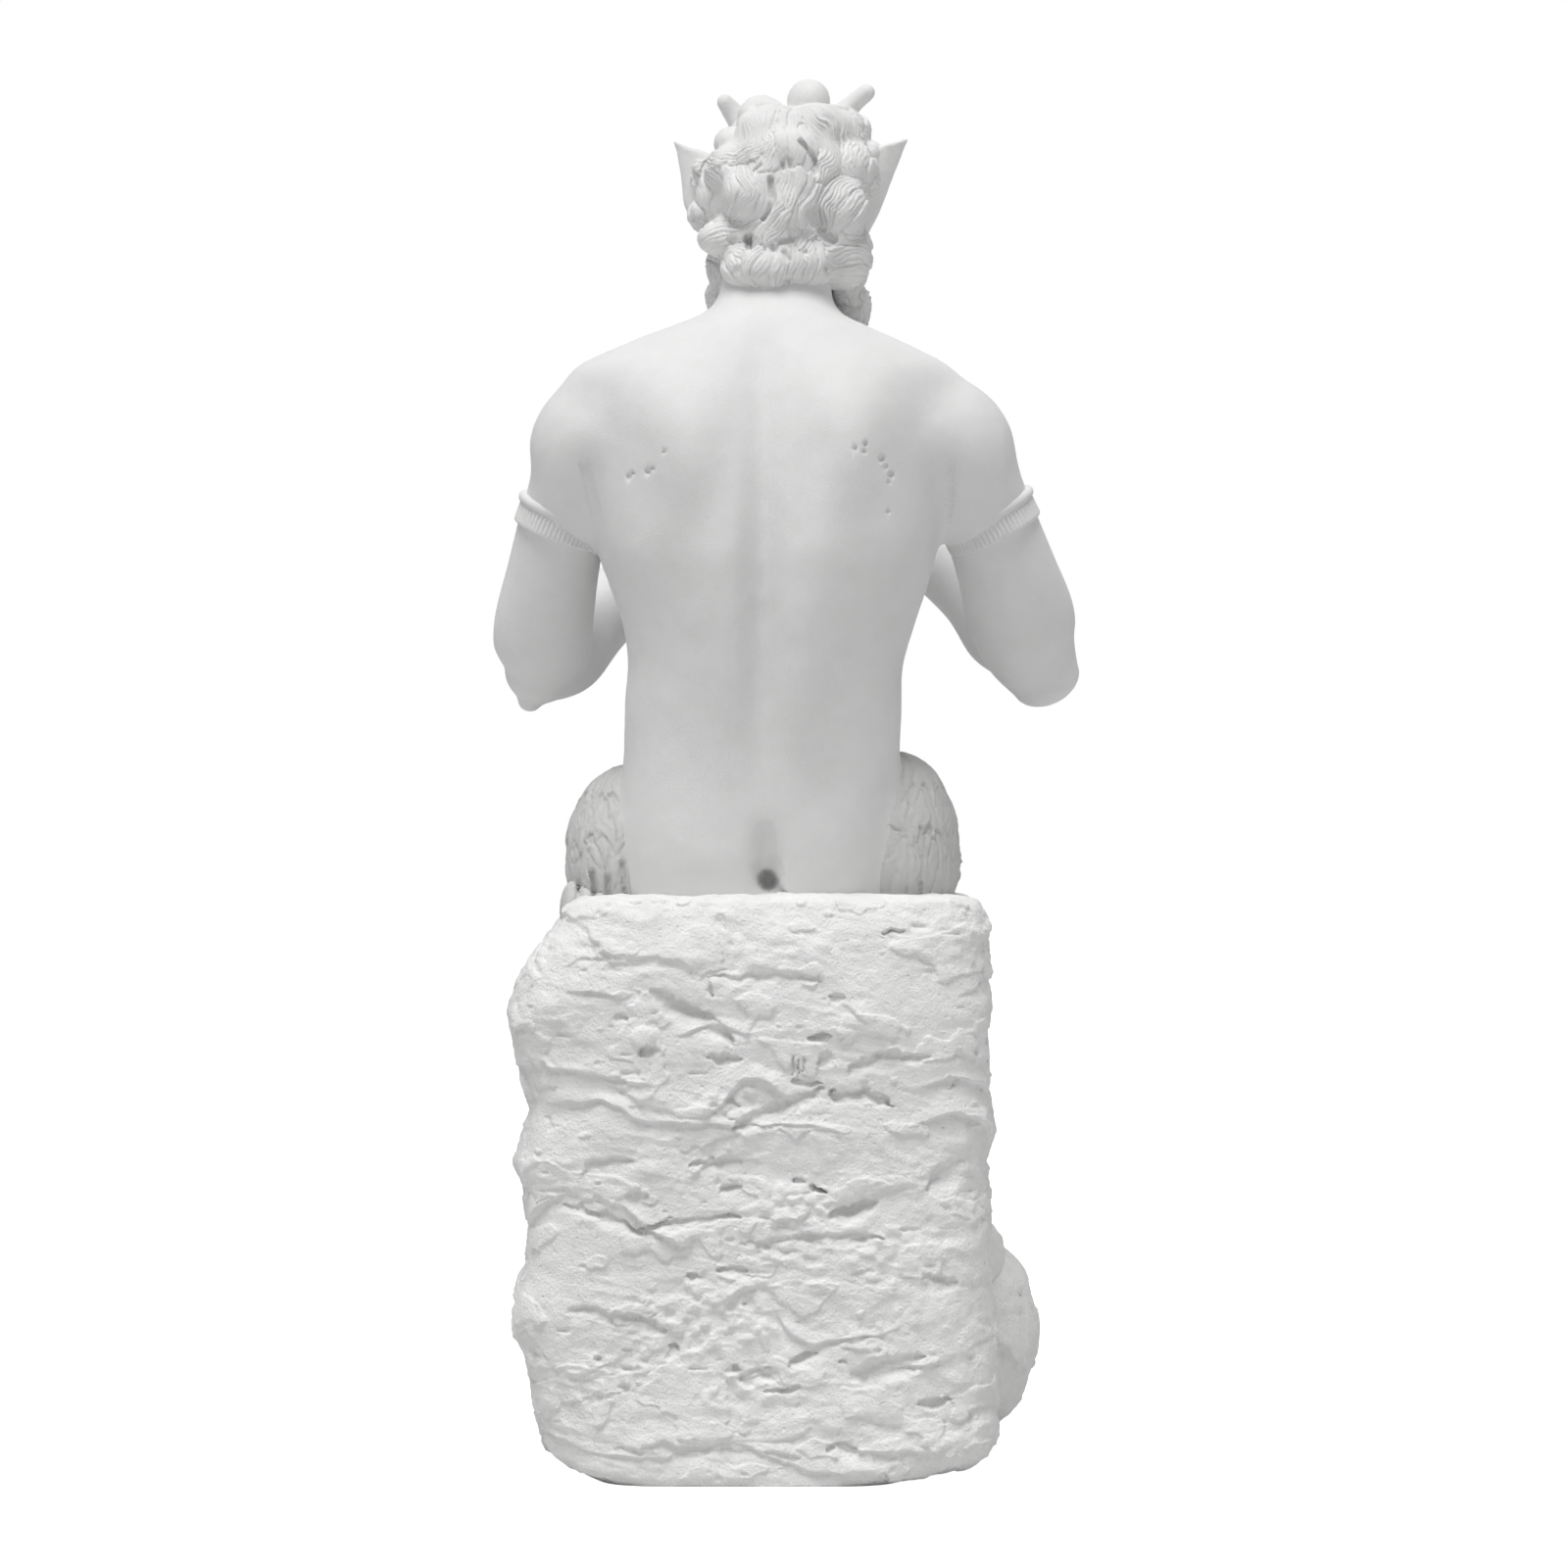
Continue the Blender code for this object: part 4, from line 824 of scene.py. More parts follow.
# The head: middle of the skull above the seat, its radii, and the face's turn to the figure's right
headSizes = {
    "middle": (-0.0147, -0.042, 0.700),
    "skull": (0.074, 0.094, 0.088),
    "turn": np.radians(7),
    "napeSlope": 1.0,
    "voxel": 0.0010,
    "triangles": 190000,
    "softVoxel": 0.0028,
    "softRounds": 30,
    # from the face's middle: across, forward, up, half width, half depth
    "nose": [
        (0, 0.094, 0.024, 0.009, 0.010), (0, 0.104, 0.006, 0.008, 0.010), (0, 0.113, -0.012, 0.009, 0.011),
        (0, 0.117, -0.026, 0.012, 0.010),
    ],
    # brow, upper lid and lower lid
    "eyeLines": [
        [
            (0.056, 0.064, 0.010, 0.008, 0.007), (0.034, 0.084, 0.020, 0.008, 0.009),
            (0.008, 0.094, 0.016, 0.007, 0.008),
        ],
        [
            (0.047, 0.076, 0.001, 0.0026, 0.003), (0.031, 0.092, 0.006, 0.0030, 0.004),
            (0.016, 0.084, -0.001, 0.0026, 0.003),
        ],
        [
            (0.046, 0.077, -0.003, 0.0022, 0.003), (0.031, 0.089, -0.009, 0.0026, 0.003),
            (0.016, 0.083, -0.004, 0.0022, 0.003),
        ],
    ],
    # eyeball, cheek and nostril: across, forward, up, radii
    "sideForms": [
        (0.031, 0.078, -0.001, 0.013, 0.013, 0.011), (0.043, 0.068, -0.030, 0.022, 0.022, 0.020),
        (0.0105, 0.111, -0.030, 0.0065, 0.008, 0.0065),
    ],
    # plain rounded curls that stay crisp: x, y and height from the middle, then radii
    "domes": [
        (-0.0243, -0.004, 0.0950, 0.0214, 0.024, 0.0212), (0.052, 0.016, 0.050, 0.0178, 0.024, 0.0170),
        (-0.085, -0.004, 0.042, 0.0148, 0.022, 0.0132), (0.078, 0.010, 0.017, 0.009, 0.014, 0.016),
        (0.079, 0.012, -0.022, 0.0125, 0.016, 0.0130), (0.0170, 0.070, -0.101, 0.0090, 0.015, 0.0135),
    ],
    # masses that flow into each other
    "masses": [
        (0.018, -0.006, 0.0760, 0.025, 0.026, 0.0200), (0.030, -0.010, 0.062, 0.020, 0.024, 0.0170),
        (0.010, 0.036, 0.058, 0.040, 0.034, 0.029), (-0.028, 0.028, 0.064, 0.034, 0.032, 0.026),
        (-0.056, 0.006, 0.062, 0.024, 0.028, 0.024), (-0.068, -0.006, 0.058, 0.020, 0.024, 0.022),
        (-0.074, 0.002, 0.024, 0.022, 0.030, 0.030), (-0.062, 0.018, 0.024, 0.026, 0.034, 0.030),
        (0.050, 0.038, 0.022, 0.029, 0.030, 0.027), (0.064, 0.014, 0.000, 0.019, 0.032, 0.040),
        (-0.004, 0.062, 0.034, 0.034, 0.031, 0.028), (0.033, 0.062, -0.006, 0.027, 0.032, 0.031),
        (-0.056, 0.046, -0.018, 0.027, 0.030, 0.030), (-0.001, 0.070, -0.022, 0.024, 0.031, 0.038),
        (-0.026, 0.056, -0.020, 0.024, 0.031, 0.038), (0.050, 0.040, -0.047, 0.036, 0.033, 0.021),
        (-0.058, 0.024, -0.064, 0.030, 0.038, 0.034), (-0.036, 0.040, -0.052, 0.030, 0.036, 0.028),
        (0.016, 0.060, -0.078, 0.047, 0.038, 0.026), (-0.016, 0.058, -0.074, 0.034, 0.036, 0.028),
        (0.010, 0.062, -0.050, 0.030, 0.034, 0.024),
    ],
}
# Locks at the back, in millimetres: half width, then x and height of the points it passes through
lockSizes = {
    "paths": [
        (9.5, [(4.9, 75.2), (20.5, 70.0), (24.0, 52.6), (32.6, 38.8), (51.7, 30.9), (65.6, 24.9)]),
        (8.5, [(8.3, 70.0), (13.5, 52.6), (22.2, 37.0), (39.6, 27.5), (56.9, 17.9)]),
        (9.5, [(4.9, 68.3), (10.9, 52.6), (12.7, 37.0), (20.5, 23.1), (26.6, 14.5)]),
        (10.0, [(1.4, 70.0), (4.9, 52.6), (4.0, 37.0), (4.9, 21.4)]),
        (10.0, [(-7.3, 66.5), (-9.9, 49.2), (-12.5, 33.6), (-9.9, 17.9)]),
        (8.0, [(-17.7, 57.9), (-21.2, 45.7), (-24.3, 33.6), (-21.2, 19.7)]),
        (8.0, [(-21.2, 70.0), (-35.1, 57.9), (-46.3, 44.0), (-48.9, 31.8), (-39.4, 21.4), (-32.5, 7.5)]),
        (9.5, [(-35.1, 73.5), (-48.9, 63.1), (-58.5, 49.2), (-62.8, 37.0), (-62.0, 23.1), (-67.2, 12.7)]),
        (8.5, [(-54.2, 70.0), (-68.0, 57.9), (-73.2, 44.0), (-76.7, 30.1), (-75.0, 16.2)]),
        (8.0, [(51.7, 66.5), (65.6, 52.6), (69.1, 37.0), (72.6, 23.1)]),
        (9.0, [(69.1, 30.1), (61.3, 14.5), (60.4, -2.9), (66.5, -20.3)]),
        (8.5, [(56.9, 24.9), (47.4, 9.3), (45.6, -6.4), (52.6, -20.3), (60.4, -28.9)]),
        (8.5, [(44.8, 21.4), (33.5, 7.5), (30.9, -8.1), (37.8, -22.0), (50.0, -28.9)]),
        (7.5, [(32.6, 21.4), (21.4, 7.5), (17.4, -8.1), (23.1, -23.7), (36.1, -33.3), (50.0, -36.7)]),
        (7.5, [(-42.0, -34.1), (-42.9, -18.5), (-48.9, -4.6), (-60.2, 3.2), (-75.8, 4.9)]),
        (7.0, [(-48.9, -37.6), (-51.5, -22.0), (-57.6, -10.7), (-66.3, -5.5), (-76.7, -4.6)]),
        (7.0, [(-57.6, -39.3), (-61.1, -25.5), (-67.2, -15.9), (-75.0, -12.4)]),
        (7.5, [(-66.3, -42.8), (-70.6, -30.7), (-75.8, -20.3)]),
        (8.5, [(-1.2, 19.7), (-1.7, 2.3), (2.3, -11.6), (9.2, -25.5), (17.0, -39.3), (24.0, -51.5), (29.2, -61.0)]),
        (8.0, [(-12.5, 16.2), (-12.5, 0.6), (-6.9, -13.3), (-1.2, -27.2), (4.9, -41.1), (15.3, -55.0)]),
        (6.0, [(-26.4, 9.3), (-23.8, -2.9), (-13.4, -13.3), (-6.9, -23.7), (-7.6, -35.9), (-14.6, -43.7)]),
        (4.5, [(-31.6, 0.6), (-27.2, -10.7), (-18.6, -20.3), (-15.1, -29.8), (-19.4, -37.6)]),
        (6.5, [(22.2, -35.0), (38.7, -37.6), (56.1, -40.2), (69.9, -46.3), (76.9, -51.5)]),
        (5.5, [(28.3, -61.0), (44.8, -61.9), (60.4, -60.2), (74.3, -55.0)]),
        (5.0, [(31.8, -39.3), (44.8, -43.7), (56.9, -51.5), (67.3, -55.0)]),
        (6.5, [(60.4, -63.6), (56.1, -75.8), (48.3, -87.1), (35.2, -96.6)]),
        (6.0, [(44.8, -65.4), (38.7, -77.5), (34.4, -88.8), (27.4, -101.0)]),
        (5.5, [(22.2, -63.6), (29.5, -75.8), (30.4, -87.9), (24.0, -100.1)]),
        (6.5, [(11.8, -63.6), (14.4, -77.5), (20.5, -89.7), (17.4, -106.2)]),
        (6.0, [(-0.3, -65.4), (4.9, -79.3), (6.6, -91.4), (9.2, -102.7)]),
        (6.0, [(-12.5, -65.4), (-10.8, -79.3), (-4.7, -89.7), (-5.6, -98.4)]),
        (6.0, [(-24.6, -56.7), (-18.6, -66.3), (-21.5, -77.5), (-21.5, -87.9), (-16.0, -96.6)]),
        (4.5, [(-27.2, -44.6), (-18.6, -55.0), (-11.6, -65.4)]),
        (5.5, [(-34.2, -56.7), (-35.9, -72.3), (-33.7, -86.2), (-29.9, -95.8)]),
        (7.5, [(-42.9, -46.3), (-57.6, -47.2), (-68.0, -54.1), (-78.5, -60.2)]),
        (8.0, [(-38.5, -65.4), (-54.2, -62.8), (-67.2, -66.3), (-77.6, -74.1)]),
        (8.0, [(-44.6, -84.5), (-60.2, -82.7), (-71.5, -81.0), (-79.3, -77.5)]),
    ],
    # hollows between the masses: half width and depth, then x and height along the line
    "gaps": [
        (2.4, 8.0, [(-17.0, 45.0), (-22.0, 38.0), (-28.5, 30.0), (-31.0, 22.0), (-31.0, 14.5)]),
        (2.4, 8.0, [(13.5, 8.0), (12.8, -3.0), (11.0, -15.0), (15.0, -24.0), (20.5, -31.5)]),
        (1.8, 4.5, [(1.4, 24.0), (0.5, 18.0)]), (2.2, 4.0, [(-6.0, 25.5), (-6.5, 20.0)]),
        (1.6, 3.0, [(29.0, 16.0), (23.0, 22.0)]), (6.0, 10.0, [(-30.5, -25.0), (-34.0, -33.0)]),
        (4.6, 11.0, [(-38.0, -41.0), (-43.5, -47.5), (-48.0, -50.0)]), (4.0, 8.0, [(51.5, -51.0)]),
        (3.6, 9.0, [(35.0, -50.0), (34.0, -58.0)]), (2.6, 8.0, [(3.5, -54.0), (-7.0, -51.5)]),
        (2.6, 5.0, [(12.0, -57.0), (10.5, -62.0)]), (2.2, 4.0, [(0.0, -65.0), (-4.0, -72.0)]),
        (2.6, 4.0, [(-3.0, -91.0)]), (3.6, 3.5, [(46.5, -82.0)]), (2.4, 4.0, [(-21.0, -65.0)]),
        (2.6, 4.5, [(-41.0, -79.0), (-44.0, -83.0)]),
        (1.6, 3.5, [(77.0, -63.6), (68.0, -68.0), (62.0, -75.0)]),
    ],
    # locks out of the photo's sight: degrees round from the back and degrees up where each begins
    "crown": [
        (turn, lift)
        for lift, shift in ((78, 0), (60, 12), (42, 0))
        for turn in range(84 + shift, 280, 24)
    ],
    "temples": [(turn, lift) for lift in (24, 6) for turn in (84, 104, 124, 236, 256, 276)],
    "rise": 0.20,
    "spread": 1.35,
    "bend": 0.0032,
    "calm": [
        (-0.0390, -0.046, 0.795, 0.042), (0.0373, -0.026, 0.750, 0.036), (-0.0997, -0.046, 0.742, 0.030),
    ],
    "reach": 0.034,
    "pitch": 0.0040,
    "depth": 0.0029,
    "step": 0.0026,
    "valley": 0.0018,
}
headMiddle = np.array(headSizes["middle"])
skullRadii = np.array(headSizes["skull"])


def facePoint(across, forward, up):
    # A place measured in the turned face's own directions from the skull's middle.
    turn = headSizes["turn"]
    way = np.array([-np.sin(turn), -np.cos(turn), 0])
    left = np.array([np.cos(turn), -np.sin(turn), 0])
    return headMiddle + left * across + way * forward + np.array([0, 0, up])


def faceLine(rows, k=1):
    # Stations along points of the face, on its other side with k = -1.
    return onSeat([(*facePoint(across * k, *where), wide, deep) for across, *where, wide, deep in rows])


def behindSkull(x, height):
    # The point of the skull's rear half, or of the nape below it, at this x and height.
    share = 1 - (x / skullRadii[0]) ** 2 - (max(height, 0) / skullRadii[2]) ** 2
    nape = 1 - headSizes["napeSlope"] * max(-height, 0)
    return headMiddle + np.array([x, skullRadii[1] * np.sqrt(np.clip(share, 0.01, 1)) * nape, height])


def awayFromSkull(point):
    # The way out of the skull's ellipsoid, level below its middle.
    away = (point - headMiddle) / skullRadii**2
    away[2] = max(away[2], 0)
    return away / np.linalg.norm(away)


def sideLock(turn, lift, number):
    # An S-shaped lock that falls down the side of the skull, shorter over the forehead.
    share = np.linspace(0, 1, 6)
    fall = 24 if 140 < turn < 220 else 36
    a = np.radians(turn + 9 * np.sin(2 * np.pi * share + 2.1 * number))
    e = np.radians(lift - fall * share)
    out = np.stack([np.cos(e) * np.sin(a), np.cos(e) * np.cos(a), np.sin(e)], -1)
    wide = 0.0105 * np.array([0.7, 1.0, 1.0, 0.9, 0.7, 0.4])[:, None]
    return layLock(np.hstack([headMiddle + skullRadii * out, wide, wide * 0.55]), out, 6)


def hairLocks():
    # The back's locks lie just over the skull along their paths, the others down the crown and temples.
    locks = []
    s = lockSizes
    for wide, path in s["paths"]:
        path = np.array(path) / 1000
        wide = wide / 1000 * np.interp(np.linspace(0, 1, len(path)), [0, 0.2, 0.7, 1], [0.75, 1, 0.9, 0.5])
        centres = [behindSkull(x, height) for x, height in path]
        outs = [awayFromSkull(c) for c in centres]
        rows = [(*(c + out * 0.006), w, w * s["rise"] + 0.001) for c, w, out in zip(centres, wide, outs)]
        locks.append(layLock(rows, outs, 8))
    locks += [sideLock(turn, lift, i) for i, (turn, lift) in enumerate(s["crown"] + s["temples"])]
    for lock in locks:
        lock["centre"][:, 2] += seat
    return locks


# Beard locks: degrees round from the face, drop of the root, length, radius
beardSizes = [
    (-100, -0.066, 0.040, 0.019), (-80, -0.104, 0.040, 0.020), (-74, -0.066, 0.050, 0.017),
    (-50, -0.076, 0.052, 0.018), (-26, -0.086, 0.056, 0.017), (0, -0.092, 0.060, 0.017),
    (26, -0.086, 0.056, 0.017), (50, -0.076, 0.052, 0.018), (74, -0.066, 0.050, 0.016),
    (88, -0.098, 0.046, 0.019), (100, -0.066, 0.036, 0.019),
]


def beardLocks():
    # Wavy locks from the cheeks and chin, each swaying as it hangs.
    locks = []
    for i, (turn, drop, length, radius) in enumerate(beardSizes):
        a = np.radians(turn)
        root = facePoint(0.064 * np.sin(a), 0.030 + 0.058 * np.cos(a), drop)
        out = facePoint(np.sin(a), np.cos(a), 0) - headMiddle
        share = np.linspace(0, 1, 5)[:, None]
        sway = 0.008 * np.sin(2 * np.pi * share + 2.4 * i)
        points = root + np.array([[0, 0, -length]]) * share + np.cross([0, 0, 1], out) * sway
        wide = radius * (1 - 0.5 * share**1.5)
        locks.append(layLock(np.hstack([onSeat(points), wide, wide * 0.95]), np.tile(out, (5, 1))))
    return locks


def beardStrands(locks):
    # The same lines as the beard's locks, as wide as their tubes and only just raised.
    return [dict(lock, wide=lock["wide"] * 0.75, high=lock["high"] * 0.06) for lock in locks]


def makeHead():
    # Skull, jaw, features and hair masses fused into one skin, then carved strand by strand.
    forms = [
        seatEgg(headMiddle, skullRadii, 60),
        seatEgg(headMiddle + np.array([0, 0.014, -0.050]), (0.062, 0.060, 0.056), 48),
        seatEgg(facePoint(0, 0.038, -0.042), (0.060, 0.064, 0.072), 48),
        seatEgg(facePoint(0, 0.076, -0.090), (0.026, 0.026, 0.022)),
    ]
    forms.append(tube(faceLine(headSizes["nose"])))
    for k in (1, -1):
        forms += [tube(faceLine(rows, k), side=(0, 0, 1), around=16) for rows in headSizes["eyeLines"]]
        forms += [seatEgg(facePoint(d[0] * k, *d[1:3]), d[3:]) for d in headSizes["sideForms"]]
    for drop, size in ((-0.050, 0.0055), (-0.060, 0.0062)):
        side = (0.024, 0.084, drop, 0.003, 0.004)
        lip = [side, (0, 0.102, drop, size, 0.007), (-side[0], *side[1:])]
        forms.append(tube(faceLine(lip), side=(0, 0, 1), around=16))
    masses = forms[:2] + [seatEgg(headMiddle + np.array(d[:3]), d[3:]) for d in headSizes["masses"]]
    forms.append(softened(masses, headSizes["softVoxel"], headSizes["softRounds"]))
    forms += [seatEgg(headMiddle + np.array(d[:3]), d[3:]) for d in headSizes["domes"]]
    beard = beardLocks()
    forms += [lockForm(lock) for lock in beard]
    piece = fuse("head", forms, headSizes["voxel"])
    relax(piece.data, 10)
    carveLocks(piece.data, hairLocks() + beardStrands(beard), lockSizes)
    gaps = [(wide / 1000, depth / 1000, np.array(line) / 1000) for wide, depth, line in lockSizes["gaps"]]
    drill(piece.data, alongLines(gaps, (headMiddle[0], headMiddle[2] + seat)))
    relax(piece.data, 1, None, 0.3)
    thin(piece, headSizes["triangles"])
    finishPiece(piece, hairStone)


# Horns, from the middle of the skull: x, y, height, half width, half depth
# Ears as level sections: height, inner edge, outer edge, half thickness
earSizes = {
    "horns": [
        [
            (0.036, -0.030, 0.066, 0.015, 0.014), (0.049, -0.033, 0.083, 0.0112, 0.0110),
            (0.0592, -0.030, 0.0960, 0.0084, 0.0084),
        ],
        [
            (-0.050, -0.030, 0.074, 0.014, 0.013), (-0.066, -0.033, 0.091, 0.0104, 0.0102),
            (-0.0832, -0.030, 0.1060, 0.0086, 0.0086),
        ],
    ],
    "ears": [
        [
            (-0.0470, 0.064, 0.072, 0.003), (-0.0400, 0.061, 0.079, 0.008), (-0.0300, 0.058, 0.090, 0.012),
            (-0.0150, 0.056, 0.0985, 0.014), (-0.0027, 0.056, 0.1015, 0.014),
            (0.0185, 0.060, 0.1036, 0.013), (0.0380, 0.068, 0.1070, 0.010), (0.0440, 0.080, 0.1085, 0.008),
            (0.0480, 0.093, 0.1098, 0.006), (0.0515, 0.103, 0.1110, 0.004), (0.0545, 0.110, 0.1120, 0.0015),
        ],
        [
            (-0.0540, -0.064, -0.072, 0.003), (-0.0430, -0.060, -0.083, 0.008),
            (-0.0300, -0.058, -0.0895, 0.012), (-0.0115, -0.056, -0.0990, 0.014),
            (0.0150, -0.060, -0.1092, 0.013), (0.0390, -0.068, -0.1180, 0.010),
            (0.0470, -0.086, -0.1212, 0.008), (0.0510, -0.104, -0.1230, 0.006),
            (0.0535, -0.114, -0.1242, 0.004), (0.0560, -0.1215, -0.1256, 0.0015),
        ],
    ],
    "lean": 0.10,
    "tilt": [0.06, 0.14],
    "scoop": 0.011,
    "toolMarks": 0.0005,
    "voxel": 0.0013,
    "triangles": 30000,
}


def makeEars():
    # Each ear is a pile of lens-shaped level sections, hollowed on the side that faces forward.
    s = earSizes
    forms = []
    for stations in s["horns"]:
        rows = np.array(stations)
        rows[:, :3] += headMiddle
        forms.append(tube(onSeat(rows), around=28))
    angle = np.linspace(0, 2 * np.pi, 48, endpoint=False)[None, :]
    for table, tilt in zip(s["ears"], s["tilt"]):
        height, inner, outer, thick = (throughRows(table, 6)[:, i : i + 1] for i in range(4))
        along = np.cos(angle)
        x = (inner + outer) / 2 + np.abs(outer - inner) / 2 * along
        outward = along * np.sign(outer)
        y = thick * np.sin(angle) * (1 - 0.35 * outward) - 0.004
        y = y + s["lean"] * (np.abs(x) - 0.08) + tilt * height
        bowl = np.clip(1 - (along / 0.85) ** 2, 0, 1)
        y = y + s["scoop"] * np.clip(-np.sin(angle), 0, 1) * bowl * thick / 0.014
        rings = np.stack([x, y, height + 0 * x], -1) + headMiddle + np.array([0, 0, seat])
        forms.append(closeRings(rings))
    piece = fuse("ears", forms, s["voxel"])
    relax(piece.data, 3)
    raised(piece.data, s["toolMarks"] * layers(getPoints(piece.data), (0.016, 0.016, 0.016), 3, 8.0))
    thin(piece, s["triangles"])
    finishPiece(piece, hairStone)


makeHead()
makeEars()
print("head ready")

# Goat legs: x from the middle, y, height above the seat, half width, half height
legSizes = {
    "middle": 0.006,
    "ledge": 0.050,
    "hips": [
        ((0.134, -0.045, 0.035), (0.0685, 0.092, 0.092)), ((-0.122, -0.045, 0.040), (0.0665, 0.092, 0.101)),
        ((0.006, -0.100, 0.040), (0.070, 0.060, 0.056)),
    ],
    "thigh": [
        (0.094, -0.030, 0.036, 0.070, 0.080), (0.114, -0.090, 0.046, 0.070, 0.080),
        (0.128, -0.200, 0.044, 0.061, 0.072), (0.138, -0.310, 0.028, 0.055, 0.060),
        (0.142, -0.355, 0.010, 0.051, 0.052),
    ],
    # tufts where the left hip's fur runs on to the rock: middle and radii
    "tufts": [
        ((0.182, 0.010, -0.030), (0.012, 0.024, 0.034)), ((0.168, 0.028, -0.036), (0.011, 0.022, 0.034)),
        ((0.152, 0.040, -0.040), (0.011, 0.020, 0.030)), ((0.196, -0.010, -0.022), (0.011, 0.024, 0.030)),
        ((-0.160, 0.012, -0.026), (0.014, 0.024, 0.026)), ((-0.142, 0.030, -0.030), (0.013, 0.022, 0.024)),
    ],
    # gaps between them: radius, depth, x and height along the line
    "furGaps": [
        (0.0026, 0.0080, [(0.176, 0.020), (0.174, 0.000), (0.175, -0.030)]),
        (0.0026, 0.0070, [(0.160, 0.016), (0.160, -0.006), (0.159, -0.040)]),
        (0.0024, 0.0060, [(0.190, 0.010), (0.189, -0.010), (0.190, -0.030)]),
        (0.0024, 0.0050, [(0.146, 0.030), (0.144, 0.005), (0.143, -0.036)]),
        (0.0022, 0.0040, [(-0.150, 0.010), (-0.151, -0.024)]),
    ],
    # x from the middle, y, share of the way up from the ledge to the knee
    "joints": [(0.160, -0.262, 0.49), (0.164, -0.322, 0.17), (0.166, -0.352, 0.03)],
    "voxel": 0.0026,
    "hipVoxel": 0.0018,
    "triangles": 90000,
    "hipTriangles": 72000,
    "fur": {
        "spread": 1.2,
        "bend": 0.0020,
        "reach": 0.030,
        "pitch": 0.0070,
        "depth": 0.0014,
        "step": 0.0012,
        "valley": 0.0016,
    },
    "hipFur": {
        "spread": 1.35,
        "bend": 0.0055,
        "reach": 0.030,
        "pitch": 0.0075,
        "depth": 0.0011,
        "step": 0.0016,
        "valley": 0.0012,
    },
}


def legJoints(side):
    # Knee, hock, fetlock and toe, each at its share of the height between ledge and knee.
    s = legSizes
    x, y, height = s["thigh"][-1][:3]
    knee = np.array([s["middle"] + side * x, y, height + seat])
    joints = [knee]
    for x, y, share in s["joints"]:
        joints.append(np.array([s["middle"] + side * x, y, s["ledge"] + (knee[2] - s["ledge"]) * share]))
    return joints


def thighStations(side):
    # The thigh's line on this side, 1 for the left and -1 for the right.
    return onSeat([(legSizes["middle"] + side * x, y, h, w, d) for x, y, h, w, d in legSizes["thigh"]])


def layTuft(root, way, out, length, width, bend, rise):
    # A flame-shaped lock along the skin: it swells, narrows to a point and sways sideways on its way.
    way = way - out * (way @ out)
    way /= np.linalg.norm(way)
    side = np.cross(way, out)
    side /= np.linalg.norm(side)
    share = np.array([0, 0.25, 0.5, 0.75, 1.0])[:, None]
    lift = width * rise * np.sin(np.pi * share**0.8)
    points = root + way * length * share + out * lift + side * bend * width * np.sin(2 * np.pi * share)
    wide = width * np.array([0.8, 1.0, 0.95, 0.62, 0.16])[:, None]
    return layLock(np.hstack([points, wide, wide * 0.55]), np.tile(out, (5, 1)), 3)


def hipLocks(side):
    # Long wavering locks run down the hip's ellipsoid in three rows, each about its own meridian.
    centre, radii = legSizes["hips"][0 if side > 0 else 1]
    centre, radii = onSeat([centre])[0], np.array(radii)
    locks = []
    for row, (top, foot) in enumerate(((72, 26), (40, -4), (12, -44))):
        for i in range(15):
            around = np.radians(-84 + 190 * (i + 0.5 * (row % 2)) / 15)
            share = np.linspace(0, 1, 6)
            lift = np.radians(top + (foot - top) * share)
            turn = around + 0.10 * np.sin(2 * np.pi * share + 1.9 * i + row) + 0.10 * share
            level = np.cos(lift)
            out = np.stack([side * np.cos(turn) * level, np.sin(turn) * level, np.sin(lift)], -1)
            wide = 0.0115 * np.array([0.6, 0.9, 1.0, 0.9, 0.6, 0.2])[:, None]
            high = 0.0030 * np.array([0.2, 0.6, 1.0, 1.0, 0.8, 0.5])[:, None]
            locks.append(layLock(np.hstack([centre + radii * out, wide, high]), out / radii, 6))
    return locks


def furLocks():
    # Rows of tufts round each thigh and shank, every row over the roots of the next.
    locks = []
    for side in (1, -1):
        thigh = throughRows(thighStations(side), 12)
        rings, around = 10, 17
        for ring in range(rings):
            x, y, z, w, d = thigh[int((len(thigh) - 1) * (ring + 0.3) / rings)]
            for i in range(around):
                turn = np.radians(-64 + 308 * (i + 0.5 * (ring % 2)) / around)
                out = np.array([side * np.cos(turn), 0, np.sin(turn)])
                root = np.array([x + w * out[0], y, z + d * out[2]]) - out * 0.007
                way = np.array([0.12 * side * np.sin(3.0 * i + ring), -0.42, -0.85])
                bend = 0.35 * np.sin(1.7 * len(locks))
                locks.append(layTuft(root, way, out, 0.060, 0.0125, bend, 0.45))
        knee, hock, *_ = legJoints(side)
        for ring in range(7):
            at = knee + (hock - knee) * (-0.12 + 0.165 * ring)
            reach = 0.052 - 0.0028 * ring
            for i in range(12):
                turn = 2 * np.pi * (i + 0.5 * (ring % 2)) / 12
                out = np.array([np.cos(turn), np.sin(turn), 0])
                root = at + out * (reach - 0.006)
                way = np.array([0.12 * np.sin(2.0 * i + ring), 0.2, -1.0])
                locks.append(layTuft(root, way, out, 0.054, 0.0125, 0.35 * np.sin(2.1 * len(locks)), 0.6))
    return locks


